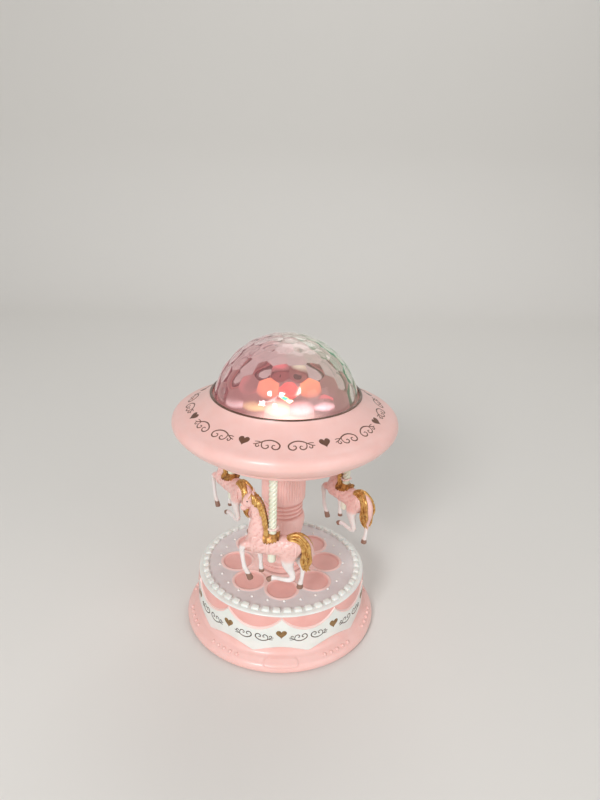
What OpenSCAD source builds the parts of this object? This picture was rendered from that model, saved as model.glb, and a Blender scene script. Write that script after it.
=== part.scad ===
// Carousel music box: a round base with a wind-up movement, a turning column,
// a lamp roof with a faceted clear dome, and three horses that hang on twisted poles.
// All sizes are millimetres. The origin is under the middle of the feet and +Z is up.

/* [Base] */
// Radius of the flange the base stands on
flange_r = 55; // [52:0.5:58]
// Radius of the drum above the flange
drum_r = 48; // [46.5:0.5:50]
// Thickness of the moulded base wall
base_wall = 2.2; // [1.8:0.1:3]
// Height of the top of the deck above the table
deck_top = 33; // [31.5:0.5:37]
// Thickness of the deck
deck_t = 2; // [1.6:0.1:2.4]
// Number of blocks round the rim of the deck
crenel_count = 48; // [24:4:60]
// Height of the rim blocks above the deck
crenel_h = 1.7; // [1:0.1:3]
// Number of petals in the deck's flower
petal_count = 8; // [6:1:10]
// Number of round studs on the deck
stud_count = 25; // [10:1:36]
// Number of swags and hearts round the drum
swag_count = 10; // [6:1:12]
// Depth of the swag panels
swag_depth = 0.7; // [0.4:0.1:1]
// How far the feet hold the base cover off the table
foot_h = 1.2; // [0.8:0.1:2]

/* [Winding] */
// Radius of the recess that takes the winding key
key_well_r = 20; // [18:0.5:24]
// Depth of the key recess above the base cover
key_well_h = 10; // [9:0.5:10.5]
// Width of the key across its wings
key_span = 26; // [18:1:30]
// Thickness of the key's wings
key_t = 3; // [2:0.5:4]

/* [Movement] */
// Number of crown teeth on the spring barrel
crown_teeth = 30; // [24:1:36]
// Number of teeth on the music cylinder's pinion
pinion_teeth = 12; // [11:1:13]
// Number of spur teeth round the great wheel
great_teeth = 48; // [44:1:52]
// Number of teeth on the governor wheel's pinion
governor_teeth = 10; // [9:1:11]
// Radius of the pinned music cylinder
cylinder_r = 6.3; // [5.5:0.1:6.5]
// Number of notes on the comb
note_count = 18; // [12:1:20]

/* [Column and roof] */
// Largest radius of the column
column_r = 12.3; // [11.5:0.1:13]
// Wall of the two column halves
column_wall = 1.8; // [1.4:0.1:2.4]
// Number of flutes round the column
flute_count = 48; // [36:12:60]
// Height of the column above its foot
column_h = 77.5; // [75:0.5:82]
// Radius of the roof at its widest
roof_r = 60.3; // [59:0.1:63]
// Thickness of the roof mouldings
roof_wall = 2; // [1.6:0.1:2.4]
// Radius of the lip under the roof
lip_r = 47.2; // [46:0.1:49]

/* [Dome] */
// Radius of the dome's curve
dome_r = 39.1; // [38.6:0.1:40.2]
// Wall of the clear dome
dome_wall = 1.8; // [1.4:0.1:2.2]
// Number of facets round each full row
dome_cells = 19; // [14:1:24]

/* [Horses] */
// Distance of each pole from the middle
pole_circle_r = 39.5; // [39:0.5:40]
// Radius of the twisted pole
pole_r = 2.2; // [1.8:0.1:2.4]
// Radius of the plain pin at the top of the pole
pole_pin_r = 1.6; // [1.2:0.1:2]
// Height of the saddle above the table
saddle_z = 79; // [77:0.5:81]

/* [Lamp] */
// Radius of a battery cell, size AAA
cell_r = 5.2; // [5.1:0.05:5.3]
// Length of a battery cell, size AAA
cell_len = 44; // [43:0.5:45]
// Travel of the lamp switch
switch_travel = 4; // [2:0.5:5]

/* [Fits] */
// Radial clearance of a running shaft
run_fit = 0.05; // [0.02:0.01:0.09]
// Clearance between mouldings that fit together
part_fit = 0.2; // [0.1:0.05:0.3]
// Gap between faces that turn past each other
turn_gap = 0.4; // [0.3:0.05:0.6]

/* [Hidden] */
$fn = 64;
eps = 0.01;

// ---- Base
cover_t = 2;
cover_z = foot_h;
cover_r = flange_r - 3;
flange_top = foot_h + cover_t;
drum_foot_z = 10.6;
deck_under = deck_top - deck_t;
drum_in_r = drum_r - base_wall;
rim_r = drum_r - 1.4;
crenel_in_r = rim_r - 4.2;
crenel_out_r = rim_r - 0.7;
stud_ring_r = 36;
petal_ring_r = 25.6;
petal_r = 8.6;
bead_ring_r = flange_r - 2.6;
bead_z = 6;
screw_ring_r = 38;
screw_count = 3;
screw_phase = 90;
counter_h = 1.3;
post_r = 3.4;
screw_r = 1.3;
foot_r = 4;
foot_ring_r = 46;
swag_step = 360 / swag_count;
swag_rise = 7.7;
swag_low_z = deck_under - 8;
stud_phase = -88;
stud_r = 0.75;
rim_t = 1;
shell_top = deck_top - rim_t;
crenel_fill = 0.74;
petal_h = 0.6;
petal_rim = 0.9;
petal_sink = 0.5;
deck_boss_r = 15.5;
bead_r = 1;
bead_step = 4.5;
plaque_r = 1.7;
plaque_half_w = 7.4;
plaque_h = 1.8;
plaque_tilt = 38;
head_r = 2.4;
head_t = 1.2;
head_hole_r = 2.7;
pilot_depth = 12;

// ---- Winding
well_t = 1.6;
well_top = cover_z + cover_t + key_well_h;
key_top = well_top - well_t - 1.2;
arbor_r = 1.6;
bush_r = 3;
bore_fit = 0.02;
key_hub_r = 3.2;
key_hub_h = 5;
key_wing_w = 0.46 * key_span;
key_wing_h = 6.2;
key_wing_x = 0.27 * key_span;
arbor_low_z = key_top - 4;

// ---- Movement
bed_t = 1.4;
bed_z = well_top + 0.3;
bed_top = bed_z + bed_t;
bed_x = -33;
bed_y = -10.5;
bed_w = 33.5;
bed_post_r = 2.6;
small_screw_r = 0.88;
small_hole_r = 0.9;
small_head_r = 1.9;
small_head_t = 1;
wheel_z = bed_top + 0.6;
wheel_t = 1.6;
crown_z = wheel_z + wheel_t;
crown_h = 1.5;
crown_mid_r = 15;
crown_w = 3;
barrel_r = 11.4;
barrel_top = crown_z + 10.6;
crown_pitch = 2 * PI * crown_mid_r / crown_teeth;
pinion_pitch_r = crown_mid_r * pinion_teeth / crown_teeth;
tooth_add = 0.7;
tooth_gap = 0.25;
great_r = 17.6;
cyl_axis_z = crown_z + tooth_gap + pinion_pitch_r + tooth_add;
pinion_x = crown_mid_r - crown_w / 2 + 0.3;
pinion_w = crown_w - 0.6;
bracket_t = 1.2;
bracket_a_x = great_r + tooth_add + 0.5;
cyl_x = bracket_a_x + bracket_t + 0.4;
cyl_len = 15;
bracket_b_x = cyl_x + cyl_len + 0.4;
cyl_shaft_r = 1;
governor_r = great_r * governor_teeth / great_teeth;
governor_x = -(great_r + governor_r + 0.15);
worm_wheel_r = 6;
worm_wheel_teeth = 24;
worm_r = 1.6;
worm_z = crown_z + crown_h + 1.2;
worm_x = governor_x - worm_wheel_r - worm_r - 0.25;
fly_shaft_r = 0.6;
fly_y = 9;
fly_len = 6;
fly_r = 3.4;
frame_top = worm_z + fly_r + 0.8;
idler_shaft_r = 0.8;
comb_z = cyl_axis_z;
comb_t = 1;
comb_tip_gap = 0.8;
comb_tooth_len = 9;
comb_root_y = cylinder_r + comb_tip_gap + comb_tooth_len;
comb_back_len = 6;
comb_pitch = (cyl_len - 2) / (note_count - 1);
comb_x = cyl_x + 1 - comb_pitch / 2;
comb_w = comb_pitch * note_count;
comb_slot = 0.2;
pin_r = 0.2;
spindle_low_z = barrel_top - 3;

// ---- Column
foot_z = deck_top + 1 + turn_gap;
column_foot_t = 2.4;
column_z = foot_z + column_foot_t;
column_top = column_z + column_h;
spindle_r = 2;
column_bore_r = column_r - 2.4 - column_wall;
collar_r = 2.9;
seam_turn = -2;
rope_turn = 40;

// ---- Roof
lip_z = column_top - 1;
pan_z = column_top;
pan_t = 2;
pan_top = pan_z + pan_t;
hub_h = 2;
hub_r = 7;
hub_hole_r = 5.5;
lip_in_r = lip_r - 2.8;
joint_z = pan_z + 8.8;
equator_z = joint_z + 2;
neck_z = equator_z + 15.2;
dome_sink = 8;
seat_depth = 2.2;
dome_centre_z = neck_z - dome_sink;
dome_cut_z = neck_z - seat_depth;
dome_seat_r = sqrt(dome_r * dome_r - (dome_sink - seat_depth) * (dome_sink - seat_depth));
ring_w = 1.55;
ring_t = 0.9;
ring_r = dome_seat_r + ring_w;
seat_ledge = 2.2;
shell_t = 1.6;
dome_turn = -78.9;
facet_depth = 0.014 * dome_r;
facet_w = dome_r / 2;
lamp_plate_z = dome_cut_z - 1.4;
lamp_plate_t = 1.2;
lamp_well = 3.6;
roof_screw_count = 3;
roof_screw_ring = ring_r + 0.9;
roof_screw_phase = 35.5;
roof_post_r = 2.6;
socket_r = 4.2;

// ---- Lamp parts in the roof
tray_in_r = 12;
tray_w = 4 * cell_r + 3.2;
tray_len = cell_len + 5;
tray_wall = 1.2;
lock_x = 3.2;
lock_y = tray_len / 2 - 3.6;
tray_turn = 21.3 - 60;
switch_turn = 21.3 + 60;
switch_ring_r = 30;
board_r = 14;
lens_r = 1.5;
lens_h = 4.2;
lens_ring_r = 2.3;
lens_phase = -40;
wire_r = 0.6;
wire_turn = 12;

// ---- Horses
pole_turns = [-98.7, 21.3, 141.3];
headings = [174, 130, 128];
pole_bottom_z = saddle_z - 18;
pole_top_z = pan_z - 0.4;
boss_top = pan_top + 6;
clip_t = 0.8;

// A profile point list for a round corner: centre, radius, start and end angle, steps
function arc(c, r, a, b, n = 6) = [for (i = [0:n]) let (t = a + (b - a) * i / n) c + r * [cos(t), sin(t)]];

// Copies of the children turned round the middle
module ring_of(count, phase = 0) {
    for (i = [0:count - 1]) rotate(phase + i * 360 / count) children();
}

// A washer-shaped solid
module tube(r_out, r_in, h, fn = 64) {
    difference() {
        cylinder(r = r_out, h = h, $fn = fn);
        translate([0, 0, -1]) cylinder(r = r_in, h = h + 2, $fn = fn);
    }
}

// A pan-head screw, its head down at the origin and its shank going up
module screw(r, len, head_r, head_t) {
    difference() {
        union() {
            cylinder(r = head_r, h = head_t, $fn = 24);
            cylinder(r = r, h = len, $fn = 24);
        }
        for (a = [0, 90]) rotate(a)
            translate([-head_r * 0.6, -0.25, -1]) cube([head_r * 1.2, 0.5, 1 + head_t * 0.5]);
    }
}

// ======== Base ========

// Section of the moulded base wall: flange, slope and drum
function base_outline() = concat(
    [[flange_r - 2.6, foot_h - 0.4]],
    arc([flange_r - 1.2, foot_h + 0.8], 1.2, -90, 0, 3),
    arc([flange_r - 3.2, foot_h + 1.8], 3.2, 8, 50, 4),
    arc([drum_r + 2.6, drum_foot_z], 2.6, 230, 180, 4),
    [[drum_r, shell_top], [drum_in_r, shell_top], [drum_in_r, drum_foot_z - 1.2],
     [cover_r - 2.4, flange_top + 2.2], [cover_r - 2.4, flange_top],
     [cover_r + part_fit, flange_top], [cover_r + part_fit, foot_h - 0.4]]);

// Swag panels: a shallow step round the drum above ten hanging curves
module swag_cut() {
    half = drum_r * sin(swag_step / 2);
    curve_r = (half * half + swag_rise * swag_rise) / (2 * swag_rise);
    intersection() {
        translate([0, 0, swag_low_z - 1])
            tube(drum_r + 1, drum_r - swag_depth, shell_top - swag_low_z + 2, 128);
        ring_of(swag_count, -90 + swag_step / 2)
            translate([drum_r - 6, 0, swag_low_z + curve_r]) rotate([0, 90, 0])
                cylinder(r = curve_r, h = 12, $fn = 96);
    }
}

// The drum and its flange, one moulding, with swags, beads and two plaques
module base_shell() color("pink") {
    difference() {
        rotate_extrude($fn = 128) polygon(base_outline());
        swag_cut();
    }
    for (i = [0:swag_count - 1]) if (i % (swag_count / 2) != 0)
        for (k = [-2:2]) rotate(-90 + i * swag_step + k * bead_step)
            translate([bead_ring_r, 0, bead_z - 1]) sphere(r = bead_r, $fn = 16);
    for (a = [-90, 90]) rotate(a) translate([bead_ring_r - 1.2, 0, bead_z - 1])
        rotate([0, plaque_tilt, 0]) {
            for (s = [-1, 1]) translate([0, s * plaque_half_w, 0])
                cylinder(r = plaque_r, h = plaque_h, $fn = 24);
            translate([-plaque_r, -plaque_half_w, 0]) cube([2 * plaque_r, 2 * plaque_half_w, plaque_h]);
        }
}

// Deck with its rim of blocks, studs, sunk petals and the hanging screw posts
module deck_plate() color("whitesmoke") {
    difference() {
        union() {
            rotate_extrude($fn = 128) polygon(deck_outline());
            petals(petal_r, deck_top - eps, petal_h);
            translate([0, 0, deck_under]) cylinder(r = deck_boss_r, h = deck_t + 1);
            translate([0, 0, deck_under - 2.4]) cylinder(r = bush_r + 2.5, h = 3);
            ring_of(screw_count, screw_phase) translate([screw_ring_r, 0, flange_top])
                cylinder(r = post_r, h = deck_under - flange_top + eps, $fn = 32);
            ring_of(crenel_count) translate([0, 0, deck_top - eps]) crenel();
            ring_of(stud_count, stud_phase) translate([stud_ring_r, 0, deck_top])
                sphere(r = stud_r, $fn = 16);
        }
        petals(petal_r - petal_rim, deck_top - petal_sink, 3);
        translate([0, 0, deck_under - 5]) cylinder(r = bush_r, h = 12, $fn = 48);
        ring_of(screw_count, screw_phase) translate([screw_ring_r, 0, flange_top - 1])
            cylinder(r = screw_r, h = pilot_depth, $fn = 24);
    }
}

// Section of the deck: a disc inside the drum, a collar under it and the rim that rests on the drum
function deck_outline() = let (r = drum_in_r - part_fit) concat(
    [[0, deck_under], [r - 2, deck_under], [r - 2, deck_under - 3], [r, deck_under - 3], [r, shell_top],
     [drum_r - 0.1, shell_top]],
    arc([drum_r - 1.1, shell_top], 1, 20, 90, 4),
    [[0, deck_top]]);

// Discs of the flower, kept clear of the boss in the middle
module petals(r, z, h) {
    difference() {
        ring_of(petal_count, -90) translate([petal_ring_r, 0, z]) cylinder(r = r, h = h, $fn = 48);
        translate([0, 0, z - 1]) cylinder(r = deck_boss_r, h = h + 2);
    }
}

// One block of the rim
module crenel() {
    w = 2 * PI * crenel_out_r / crenel_count * crenel_fill;
    rotate(-90 / crenel_count) translate([crenel_in_r, -w / 2, 0])
        cube([crenel_out_r - crenel_in_r, w, crenel_h]);
}

// Cover that closes the base, with a well for the key in its middle
module bottom_cover() color("gainsboro") {
    difference() {
        union() {
            translate([0, 0, cover_z]) cylinder(r = cover_r, h = cover_t, $fn = 128);
            translate([0, 0, cover_z]) cylinder(r = key_well_r + well_t, h = cover_t + key_well_h, $fn = 96);
            for (p = bed_posts()) translate([p[0], p[1], cover_z + eps])
                cylinder(r = bed_post_r, h = bed_z - cover_z - eps, $fn = 32);
        }
        translate([0, 0, -1]) cylinder(r = key_well_r, h = 1 + well_top - well_t, $fn = 96);
        cylinder(r = bush_r, h = 40, $fn = 48);
        ring_of(screw_count, screw_phase) translate([screw_ring_r, 0, 0]) {
            cylinder(r = screw_r + 0.3, h = 10, $fn = 24);
            cylinder(r = head_hole_r, h = cover_z + counter_h, $fn = 24);
        }
        for (p = bed_posts()) translate([p[0], p[1], bed_z - 6])
            cylinder(r = small_hole_r, h = pilot_depth, $fn = 24);
    }
}

// Posts of the cover that carry the movement's bedplate
function bed_posts() = [[30, -7.5], [13, 20], [-28, 20], [-28, -7.5]];

// Four rubber feet stuck under the cover
module rubber_feet() color("dimgray") {
    ring_of(4, 45) translate([foot_ring_r, 0, 0]) cylinder(r = foot_r, h = foot_h, $fn = 32);
}

// Three self-tapping screws that draw the cover and the deck together
module cover_screws() color("silver") {
    ring_of(screw_count, screw_phase) translate([screw_ring_r, 0, cover_z + counter_h - head_t])
        screw(screw_r - run_fit, 8, head_r, head_t);
}

// ======== Winding ========

// Butterfly key: two flat wings on a hub
module winding_key() color("silver") {
    difference() {
        union() {
            translate([0, 0, key_top - key_hub_h]) cylinder(r = key_hub_r, h = key_hub_h, $fn = 32);
            for (s = [-1, 1]) rotate([90, 0, 0]) translate([s * key_wing_x, key_top - 4.6, -key_t / 2])
                linear_extrude(key_t) offset(r = 1) square([key_wing_w - 2, key_wing_h - 2], center = true);
            translate([-key_span / 4, -key_t / 2, key_top - 6]) cube([key_span / 2, key_t, 3]);
        }
        translate([0, 0, arbor_low_z]) cylinder(r = arbor_r, h = 6, $fn = 32);
    }
}

// Steel arbor from the key up into the spring barrel
module key_arbor() color("gray") {
    translate([0, 0, arbor_low_z]) cylinder(r = arbor_r - bore_fit, h = barrel_top - key_top, $fn = 32);
    translate([0, 0, bed_top + 0.1]) cylinder(r = 2.4, h = 0.4, $fn = 32);
}

// Brass bush that carries the arbor in the cover
module arbor_bush() color("goldenrod") {
    translate([0, 0, well_top - well_t])
        tube(bush_r - bore_fit, arbor_r + run_fit - bore_fit, well_t + 0.3, 48);
}

// ======== Movement ========

// Flat steel plate that carries the whole movement
module movement_bedplate() color("silver") {
    difference() {
        translate([bed_x, bed_y, bed_z]) cube([bracket_b_x + bracket_t + 0.6 - bed_x, bed_w, bed_t]);
        cylinder(r = arbor_r + run_fit - bore_fit, h = 60, $fn = 48);
        for (p = bed_posts()) translate([p[0], p[1], bed_z - 1]) cylinder(r = 1.2, h = 6, $fn = 24);
        translate([governor_x, 0, bed_z - 1]) cylinder(r = idler_shaft_r + run_fit, h = 6, $fn = 24);
    }
}

// Four short screws that hold the bedplate down on its posts
module bedplate_screws() color("silver") {
    for (p = bed_posts()) translate([p[0], p[1], bed_top + 1]) mirror([0, 0, 1])
        screw(small_screw_r, 6, small_head_r, small_head_t);
}

// A spur wheel with straight-sided teeth, thinned so that it runs free
module spur(teeth, pitch_r, w, thick = 0.4) {
    root_w = 2 * PI * pitch_r / teeth * thick * 1.35;
    tip_w = 2 * PI * pitch_r / teeth * thick * 0.6;
    cylinder(r = pitch_r - tooth_add - 0.15, h = w);
    linear_extrude(w) for (i = [0:teeth - 1]) rotate(i * 360 / teeth)
        polygon([[pitch_r - tooth_add - 0.4, -root_w / 2], [pitch_r + tooth_add, -tip_w / 2],
                 [pitch_r + tooth_add, tip_w / 2], [pitch_r - tooth_add - 0.4, root_w / 2]]);
}

// Spring barrel: the great wheel, its crown teeth and the drum that holds the spring
module spring_barrel() color("goldenrod") {
    difference() {
        union() {
            translate([0, 0, wheel_z]) spur(great_teeth, great_r, wheel_t, 0.38);
            translate([0, 0, crown_z - eps]) cylinder(r = barrel_r, h = barrel_top - crown_z);
            ring_of(crown_teeth) translate([crown_mid_r, 0, crown_z - eps]) crown_tooth();
        }
        translate([0, 0, wheel_z - 1])
            cylinder(r = arbor_r + run_fit, h = barrel_top - wheel_z - 1.6, $fn = 48);
        translate([0, 0, crown_z]) tube(barrel_r - 1, 3.6, barrel_top - crown_z - 1.4);
        translate([0, 0, spindle_low_z]) cylinder(r = spindle_r, h = 6, $fn = 48);
    }
}

// One tooth of the crown, narrower at its tip
module crown_tooth() {
    w = crown_pitch * 0.38;
    translate([-crown_w / 2, 0, 0]) rotate([90, 0, 90]) linear_extrude(crown_w)
        polygon([[-w * 0.6, 0], [-w * 0.3, crown_h], [w * 0.3, crown_h], [w * 0.6, 0]]);
}

// Pinned brass cylinder with its shaft and its pinion
module music_cylinder() color("gold") {
    translate([0, 0, cyl_axis_z]) rotate([0, 90, 0]) {
        translate([0, 0, pinion_x - 0.2])
            cylinder(r = cyl_shaft_r, h = bracket_b_x + bracket_t - pinion_x + 0.4, $fn = 32);
        translate([0, 0, pinion_x]) rotate(180 / pinion_teeth)
            spur(pinion_teeth, pinion_pitch_r, pinion_w, 0.36);
        translate([0, 0, cyl_x]) cylinder(r = cylinder_r, h = cyl_len);
        for (k = [0:note_count - 1]) for (j = [0:1])
            rotate(k * 137 + j * 170) translate([cylinder_r - 0.4, 0, cyl_x + 1 + k * comb_pitch])
                rotate([0, 90, 0]) cylinder(r = pin_r, h = 0.8, $fn = 16);
    }
}

// Two upright brackets with bushed holes for the cylinder's shaft
module cylinder_brackets() color("silver") {
    for (x = [bracket_a_x, bracket_b_x]) difference() {
        translate([x, -4, bed_top]) cube([bracket_t, 8, cyl_axis_z - bed_top + 3]);
        translate([x - 1, 0, cyl_axis_z]) rotate([0, 90, 0])
            cylinder(r = cyl_shaft_r + run_fit, h = 6, $fn = 32);
    }
}

// Places of the comb's two screws
function comb_screw_at() = [for (s = [0.25, 0.75]) [comb_x + s * comb_w, comb_root_y + comb_back_len / 2]];

// Steel comb, cut into one tooth for each note
module comb() color("gray") {
    difference() {
        translate([comb_x, cylinder_r + comb_tip_gap, comb_z])
            cube([comb_w, comb_tooth_len + comb_back_len, comb_t]);
        for (k = [1:note_count - 1]) translate([comb_x + k * comb_pitch - comb_slot / 2, 0, comb_z - 1])
            cube([comb_slot, comb_root_y, comb_t + 2]);
        for (p = comb_screw_at()) translate([p[0], p[1], comb_z - 1]) cylinder(r = 1.1, h = 4, $fn = 24);
    }
}

// Cast block under the back of the comb
module comb_stand() color("dimgray") {
    difference() {
        translate([comb_x, comb_root_y + 0.6, bed_top]) cube([comb_w, comb_back_len - 0.6, comb_z - bed_top]);
        for (p = comb_screw_at()) translate([p[0], p[1], bed_top + 2])
            cylinder(r = small_hole_r, h = 20, $fn = 24);
    }
}

// Two screws that clamp the comb on its block
module comb_screws() color("silver") {
    for (p = comb_screw_at()) translate([p[0], p[1], comb_z + comb_t + 1])
        mirror([0, 0, 1]) screw(small_screw_r, 5, small_head_r, small_head_t);
}

// Idler that steps the speed up: a pinion on the great wheel under a worm wheel
module governor_wheel() color("goldenrod") {
    translate([governor_x, 0, 0]) {
        translate([0, 0, bed_z]) cylinder(r = idler_shaft_r, h = frame_top + 1.2 - bed_z, $fn = 24);
        translate([0, 0, wheel_z]) rotate(180 + 180 / governor_teeth)
            spur(governor_teeth, governor_r, wheel_t, 0.36);
        translate([0, 0, wheel_z + wheel_t - eps])
            cylinder(r = 1.6, h = worm_z - wheel_z - wheel_t - 0.4, $fn = 24);
        translate([0, 0, worm_z - 0.5]) spur(worm_wheel_teeth, worm_wheel_r - 0.7, 1, 0.4);
    }
}

// Worm shaft with the two air vanes that hold the speed
module governor_fly() color("ivory") {
    translate([worm_x, 0, worm_z]) rotate([-90, 0, 0]) {
        translate([0, 0, -5]) cylinder(r = fly_shaft_r, h = fly_y + fly_len + 8, $fn = 24);
        translate([0, 0, -2.5]) cylinder(r = worm_r, h = 5, $fn = 24);
        translate([-fly_r, -0.3, fly_y]) cube([2 * fly_r, 0.6, fly_len]);
    }
}

// Bracket with the two bearings of the fly and the top bearing of the idler
module governor_frame() color("silver") {
    upright_h = frame_top - bed_top + eps;
    difference() {
        union() {
            for (y = [-5, fly_y - 5.2, fly_y + fly_len + 1.4])
                translate([worm_x - 2, y, bed_top]) cube([4, bracket_t, upright_h]);
            translate([worm_x - 2, -5, frame_top]) cube([governor_x - worm_x + 4, 10, 1]);
            translate([worm_x - 2, fly_y - 5.2, frame_top]) cube([4, fly_len + 6.6 + bracket_t, 1]);
        }
        translate([worm_x, -10, worm_z]) rotate([-90, 0, 0])
            cylinder(r = fly_shaft_r + run_fit, h = 50, $fn = 24);
        translate([governor_x, 0, frame_top - 1]) cylinder(r = idler_shaft_r + run_fit, h = 6, $fn = 24);
    }
}

// ======== Column ========

// Long steel spindle from the barrel to the roof, with the collar the column stands on
module spindle() color("silver") {
    translate([0, 0, spindle_low_z])
        cylinder(r = spindle_r - bore_fit, h = pan_top + 8 - spindle_low_z, $fn = 48);
    translate([0, 0, foot_z - 1]) cylinder(r = collar_r, h = 1, $fn = 32);
}

// Brass bush in the middle of the deck
module spindle_bush() color("goldenrod") {
    translate([0, 0, deck_under - 2.4])
        tube(bush_r - bore_fit, spindle_r + run_fit - bore_fit, foot_z - deck_under + 0.8, 48);
}

// Turned foot of the column, carried on the spindle's collar
module column_foot() color("pink") {
    difference() {
        union() {
            translate([0, 0, foot_z]) cylinder(r = column_r + 0.8, h = column_foot_t, $fn = 96);
            translate([0, 0, column_z - eps]) cylinder(r = column_bore_r - 0.2, h = 3, $fn = 64);
        }
        translate([0, 0, foot_z - 1]) cylinder(r = spindle_r, h = 8, $fn = 48);
    }
}

// Outer section of the column: vase foot, ringed waist and fluted barrel
function column_outline() = let (z = column_z, r = column_r) concat(
    [[r - 3.4, z], [r + 0.2, z], [r + 0.2, z + 1.4]],
    arc([r + 0.2, z + 4.4], 3, 270, 180, 5),
    [[r - 2.4, z + 13], [r - 1.2, z + 19], [r - 0.2, z + 25], [r - 0.1, z + 29]],
    arc([r - 1.6, z + 29.8], 1.5, 0, 60, 3),
    [for (k = [0:2]) each arc([r - 1.9, z + 32.4 + k * 2.4], 0.8, -80, 80, 4)],
    arc([r - 1.6, z + 41], 1.6, -60, 0, 3),
    [[r, z + 68], [r - 0.4, z + 70], [r + 0.6, z + column_h - 3], [r + 0.6, z + column_h]]);

// Half of the column: the outline less a plain bore, cut on the seam
module column_half(side) {
    rotate(seam_turn - 90 + (side > 0 ? 0 : 180)) difference() {
        rotate_extrude(angle = 180, $fn = 96)
            polygon(concat(column_outline(), [[column_bore_r + part_fit, column_z + column_h],
                [column_bore_r + part_fit, column_z]]));
        for (i = [1:flute_count / 2 - 1]) rotate(i * 360 / flute_count)
            translate([column_r + 0.1, 0, column_z + 43]) cylinder(r = 0.35, h = 23, $fn = 16);
    }
}

module column_left_half() color("lightpink") column_half(-1);

module column_right_half() color("pink") column_half(1);

// ======== Roof ========

// Nut and washer that clamp the roof on the spindle
module spindle_nut() color("silver") {
    translate([0, 0, pan_top + hub_h]) difference() {
        union() {
            cylinder(r = 4.5, h = 0.8, $fn = 32);
            translate([0, 0, 0.8 - eps]) cylinder(r = 3.6, h = 2.4, $fn = 6);
        }
        translate([0, 0, -1]) cylinder(r = spindle_r, h = 6, $fn = 48);
    }
}

// Flare of the lower bowl, a parabola from the lip out to the joint
function bowl_flare(t) = let (u = 1 - t)
    u * u * [lip_r + 2, lip_z + 2] + 2 * u * t * [roof_r - 4.3, pan_z + 2.3] + t * t * [roof_r - 0.3, joint_z];

// Section of the lower bowl: the flat pan, the rolled lip and the undercut flare
function bowl_outline() = concat(
    [[hub_hole_r, pan_z], [lip_in_r, pan_z]],
    arc([lip_r - 1.4, lip_z - 0.4], 1.4, 180, 360, 12),
    arc([lip_r + 2, lip_z], 2, 180, 90, 6),
    [for (i = [1:9]) bowl_flare(i / 9)],
    [[roof_r - 0.3 - roof_wall, joint_z], [roof_r - 4.4, joint_z - 1.4],
     [roof_r - 6.6, pan_z + 6.2], [roof_r - 10, pan_z + 4.2], [roof_r - 13, pan_top + 1],
     [lip_in_r, pan_top], [hub_hole_r, pan_top]]);

// Lower half of the roof, with the pole sockets, the battery hatch and the switch slot
module roof_lower_bowl() color("pink") {
    difference() {
        union() {
            rotate_extrude($fn = 128) polygon(bowl_outline());
            translate([0, 0, pan_z]) cylinder(r = hub_r, h = pan_t + hub_h);
            for (a = pole_turns) rotate(a) translate([pole_circle_r, 0, pan_z])
                cylinder(r = socket_r, h = boss_top - pan_z, $fn = 48);
            ring_of(roof_screw_count, roof_screw_phase) translate([roof_screw_ring, 0, pan_z + 1])
                cylinder(r = roof_post_r, h = 5, $fn = 32);
        }
        translate([0, 0, lip_z - 2]) cylinder(r = spindle_r, h = 12, $fn = 48);
        for (a = pole_turns) rotate(a) translate([pole_circle_r, 0, pan_z - 3])
            cylinder(r = pole_pin_r + run_fit, h = 20, $fn = 48);
        rotate(tray_turn) translate([tray_in_r, -tray_len / 2, pan_z - 3]) cube([tray_w, tray_len, 10]);
        rotate(switch_turn) translate([switch_ring_r - 3, -(switch_travel + 5) / 2, pan_z - 3])
            cube([6, switch_travel + 5, 10]);
        ring_of(roof_screw_count, roof_screw_phase) translate([roof_screw_ring, 0, pan_z - 2])
            union() {
                cylinder(r = screw_r + 0.2, h = 12, $fn = 24);
                cylinder(r = head_hole_r, h = 2 + counter_h, $fn = 24);
            }
    }
}

// Outer section of the upper shell, from the joint over the equator to the neck
function shell_outer() = concat(
    [[roof_r - 0.3, joint_z]],
    arc([roof_r - 3.2, equator_z], 3.2, -20, 62, 6),
    [[roof_r - 6, equator_z + 5.1], [roof_r - 10, equator_z + 7.3], [roof_r - 14, equator_z + 9.4]],
    arc([ring_r + 4.4, neck_z - 0.4], 4.2, 245, 180, 5));

// Upper half of the roof, a turned shell with a seat for the dome
module roof_upper_shell() color("pink") {
    difference() {
        union() {
            rotate_extrude($fn = 128) polygon(concat(shell_outer(),
                [[ring_r, neck_z - ring_t], [dome_seat_r + part_fit, neck_z - ring_t],
                 [dome_seat_r + part_fit, dome_cut_z], [dome_seat_r - seat_ledge, dome_cut_z],
                 [dome_seat_r - seat_ledge, dome_cut_z - shell_t], [ring_r + 1, dome_cut_z - shell_t],
                 [roof_r - 14, equator_z + 7.2], [roof_r - 10, equator_z + 5.1],
                 [roof_r - 6.4, equator_z + 2.9], [roof_r - 3.4, equator_z],
                 [roof_r - 0.3 - roof_wall, joint_z]]));
            ring_of(roof_screw_count, roof_screw_phase) translate([roof_screw_ring, 0, pan_z + 6])
                cylinder(r = roof_post_r, h = neck_z - pan_z - 9.2, $fn = 32);
        }
        ring_of(roof_screw_count, roof_screw_phase) translate([roof_screw_ring, 0, pan_z + 5])
            cylinder(r = screw_r, h = 10, $fn = 24);
    }
}

// Three screws that join the two halves of the roof
module roof_screws() color("silver") {
    ring_of(roof_screw_count, roof_screw_phase) translate([roof_screw_ring, 0, pan_z + counter_h - head_t])
        screw(screw_r - run_fit, 12, head_r, head_t);
}

// Brown trim ring round the foot of the dome
module dome_ring() color("saddlebrown") {
    rotate_extrude($fn = 128) polygon(concat([[dome_seat_r + part_fit, neck_z - ring_t]],
        [[ring_r - 0.05, neck_z - ring_t]],
        arc([ring_r - ring_w / 2, neck_z - ring_t / 2], ring_w / 2, 0, 120, 4),
        [[dome_seat_r + part_fit, neck_z + 0.1]]));
}

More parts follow.
